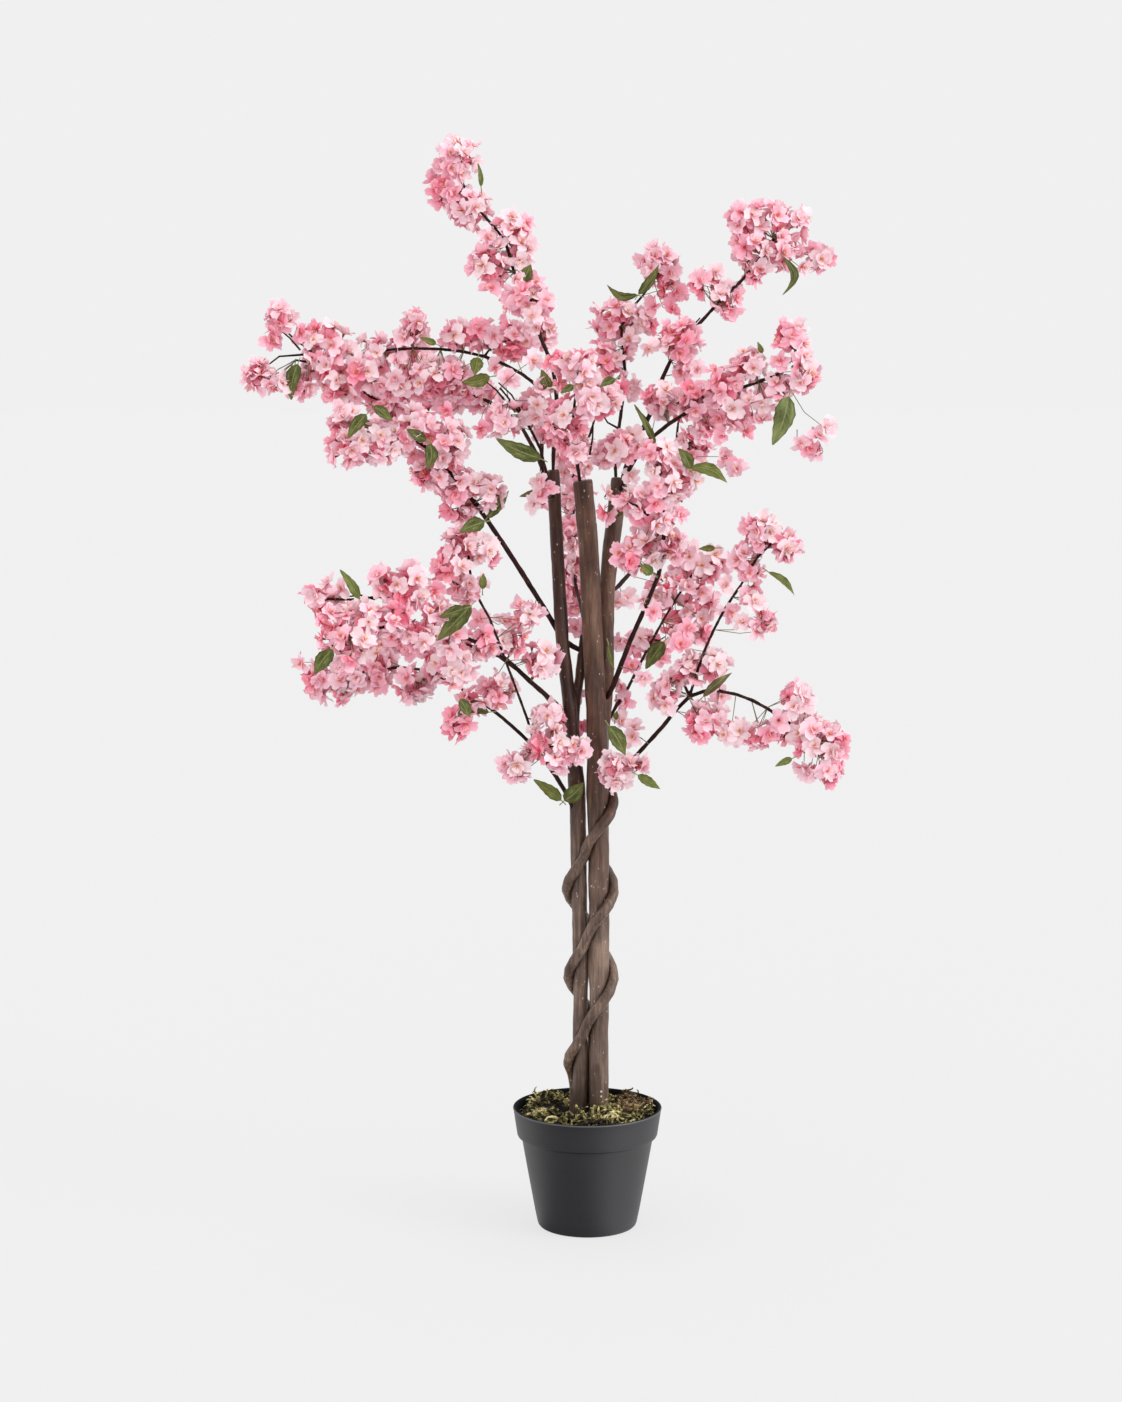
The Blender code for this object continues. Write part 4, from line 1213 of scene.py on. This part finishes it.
# %% Where the leaves are
CAD_LEAVES = {  # foot x, z, tip x, z, y, width, bow in mm, and the shade
    "leaf_low_left": (-29, 484, -58, 508, -12, 13, 0, 1),
    "leaf_right_low": (123, 603, 154, 630, -54, 9, -1, BROWN),
    "leaf_right_back": (84, 655, 63, 625, 20, 17, 1, 0),
    "leaf_crown_left": (-44, 818, -74, 816, -14, 9, 2, BROWN),
}
LEAVES = [  # the same, for leaves that are only dressing
    (211, 924, 193, 873, -66, 22, -3, 2), (106, 850, 145, 834, -93, 13, -6, 1),
    (106, 848, 94, 870, -96, 13, 2, 0), (191, 738, 221, 713, -63, 7, -4, 1),
    (142, 755, 124, 754, 70, 7, 0, 1), (184, 969, 179, 980, -45, 5, 0, 1),
    (27, 942, 11, 934, -100, 9, 1, 0), (67, 738, 54, 748, -90, 11, 0, 1),
    (71, 872, 49, 915, -50, 7, 1, 0), (-314, 958, -324, 920, 14, 16, 2, 0),
    (-234, 905, -254, 880, -76, 13, 1, 0), (-226, 914, -206, 899, -76, 11, 0, 0),
    (-172, 877, -193, 889, -58, 11, 0, 0), (-168, 874, -171, 847, -62, 14, -3, 0),
    (-106, 944, -137, 938, 10, 14, -2, 1), (-119, 965, -123, 946, 12, 14, 0, 1),
    (-50, 858, -98, 880, -72, 17, -2, 0), (-109, 793, -86, 823, -26, 11, 1, 0),
    (-110, 792, -136, 783, -82, 16, 1, 0), (-42, 929, -50, 952, -36, 12, 0, 0),
    (-164, 979, -180, 986, 6, 7, 0, 1), (-240, 714, -259, 745, -122, 10, 1, 1),
    (-112, 722, -111, 739, -94, 8, 0, 1), (22, 572, 41, 539, -56, 17, -1, 0),
    (53, 519, 77, 505, -58, 10, 0, 1), (-26, 484, -5, 504, -14, 18, 2, 0),
    (22, 657, 29, 630, -30, 5, 2, 0), (214, 1074, 213, 1033, 60, 9, -13, 0),
    (-124, 705, -160, 668, -92, 18, 0, 0), (-130, 703, -158, 694, -106, 12, 0, 0),
    (-266, 664, -285, 637, -150, 16, 2, 0), (-107, 584, -145, 578, -34, 14, 9, 0),
    (-137, 602, -126, 583, -62, 12, 0, 0), (-115, 1146, -118, 1171, 4, 5, 1, 1),
    (-70, 1045, -62, 1064, 2, 14, 0, 0), (55, 1033, 21, 1044, 70, 9, -7, 0),
    (56, 1034, 78, 1066, 84, 10, 2, 0), (30, 571, 32, 581, 6, 6, 0, 1),
    (216, 542, 198, 535, -94, 7, 0, 1), (-16, 935, -30, 928, -104, 8, 0, 0),
]
print(len(CAD_LEAVES), "leaves of the part and", len(LEAVES), "more in front")

# %% Place the leaves
LEAF_CLEAR = 12  # in mm, how far the leaves are drawn forward, clear of the petals
BACK_DEPTH = 2 * MM
BACK_LIFT = 0.25  # how steeply a leaf at the back stands off its head


def placed_leaf(bm, leaf_line, rng):
    foot_x, foot_z, tip_x, tip_z, back, width, bow, shade = leaf_line
    back -= LEAF_CLEAR
    tip_back = back + rng.uniform(-8, 3)
    foot, tip = Vector((foot_x, back, foot_z)) * MM, Vector((tip_x, tip_back, tip_z)) * MM
    leaf(bm, foot, tip, width * MM, bow * MM, shade, rng)


rng = random.Random(5)
for node, leaf_line in CAD_LEAVES.items():
    single = bmesh.new()
    placed_leaf(single, leaf_line, rng)
    piece("silk_" + node, single, leaf_finish, [node])
leaves = bmesh.new()
for leaf_line in LEAVES:
    placed_leaf(leaves, leaf_line, rng)
for places in backs:
    middle = sum((point for point, out in places), Vector()) / max(1, len(places))
    for point, out in rng.sample(places, min(1, len(places))):
        along = middle - point + Vector((rng.gauss(0, 5), 0, rng.gauss(0, 5))) * MM
        way = (along - along.dot(out) * out + out * BACK_LIFT * along.length).normalized()
        foot = point - out * BACK_DEPTH
        leaf(
            leaves, foot, foot + way * rng.uniform(20, 30) * MM, rng.uniform(9, 13) * MM,
            rng.uniform(-3, 3) * MM, rng.choice((0, 0, 1)), rng,
        )
piece("silk_leaves", leaves, leaf_finish)

# %% [markdown]
# ## Studio
# A pale floor and even light. Broad soft lamps from the right, the left and the
# front give the shading, and a surrounding light of one even strength fills the
# rest. The lamp in front isn't mirrored, so it leaves no glare on the pot. The floor's
# colour is worked out from all of them together, so that it comes out as the same pale
# grey as the background. Seen in a shiny surface, the room is darker on the side where
# the camera stands, which is what shapes the black pot.

# %% Surrounding light
scene = bpy.context.scene
PALE = tone(240, 240, 240)
WHITE = tone(255, 255, 255)
SKY = 1.04

studio = Finish("studio", bpy.data.worlds)
shining = studio.node("ShaderNodeBackground", None, {"Color": WHITE, "Strength": SKY})
direction = studio.node("ShaderNodeTexCoord", out="Generated")
backdrop = studio.node("ShaderNodeBackground", None, {"Color": PALE, "Strength": studio.room(direction)})
around = studio.blend(studio.seen(), shining, backdrop)
scene.world = studio.show(around, "ShaderNodeOutputWorld")

# %% Lamps
LAMPS = [  # strength, height and side in degrees, how wide it looks, and whether it is mirrored
    (0.88, 33, 68, 32, True),
    (0.9, 3, 55, 40, True),
    (0.3, 3, -62, 40, True),
    (0.5, 14, -8, 60, False),
]
lit = SKY  # how much light falls on the floor in all
for strength, height, side, width, mirrored in LAMPS:
    lamp = bpy.data.objects.new("broad_lamp", bpy.data.lights.new("broad_lamp", "SUN"))
    lamp.data.energy = strength
    lamp.data.angle = math.radians(width)
    lamp.visible_glossy = mirrored
    height, side = math.radians(height), math.radians(side)
    beam = Vector((math.sin(side), -math.cos(side), math.tan(height)))
    lamp.rotation_mode = "QUATERNION"
    lamp.rotation_quaternion = beam.to_track_quat("Z", "Y")
    scene.collection.objects.link(lamp)
    lit += strength * math.sin(height) / math.pi
print("light on the floor:", round(lit, 2))

# %% Floor
SHADOW_LEFT = 0.2  # the share of the true shadow that stays on the floor
FLOOR_REACH = 60

ground = Finish("pale_floor")
floor_tone = (*[part / lit for part in PALE[:3]], 1)
painted = ground.node("ShaderNodeBsdfDiffuse", None, {"Color": floor_tone})
direction = ground.vector("NORMALIZE", ground.place(), out="Vector")
even = ground.node("ShaderNodeEmission", None, {"Color": PALE, "Strength": ground.room(direction)})
surface = ground.blend(ground.seen() * (1 - SHADOW_LEFT), painted, even)
floor_bm = bmesh.new()
bmesh.ops.create_grid(floor_bm, x_segments=1, y_segments=1, size=FLOOR_REACH)
floor_mesh = bpy.data.meshes.new("floor")
floor_bm.to_mesh(floor_mesh)
floor_bm.free()
floor_mesh.materials.append(ground.show(surface))
floor = bpy.data.objects.new("floor", floor_mesh)
scene.collection.objects.link(floor)

# %% Camera
CAMERA_PLACE = (-0.0294, -3.0, 0.95)
LOOKS_DOWN = 6.83  # degrees
LENS = 70.7

camera = bpy.data.objects.new("camera", bpy.data.cameras.new("camera"))
camera.location = CAMERA_PLACE
camera.rotation_euler = (math.radians(90 - LOOKS_DOWN), 0, 0)
camera.data.lens = LENS
camera.data.sensor_width = 36
camera.data.clip_end = 200
scene.collection.objects.link(camera)
scene.camera = camera
scene.view_settings.view_transform = "Standard"
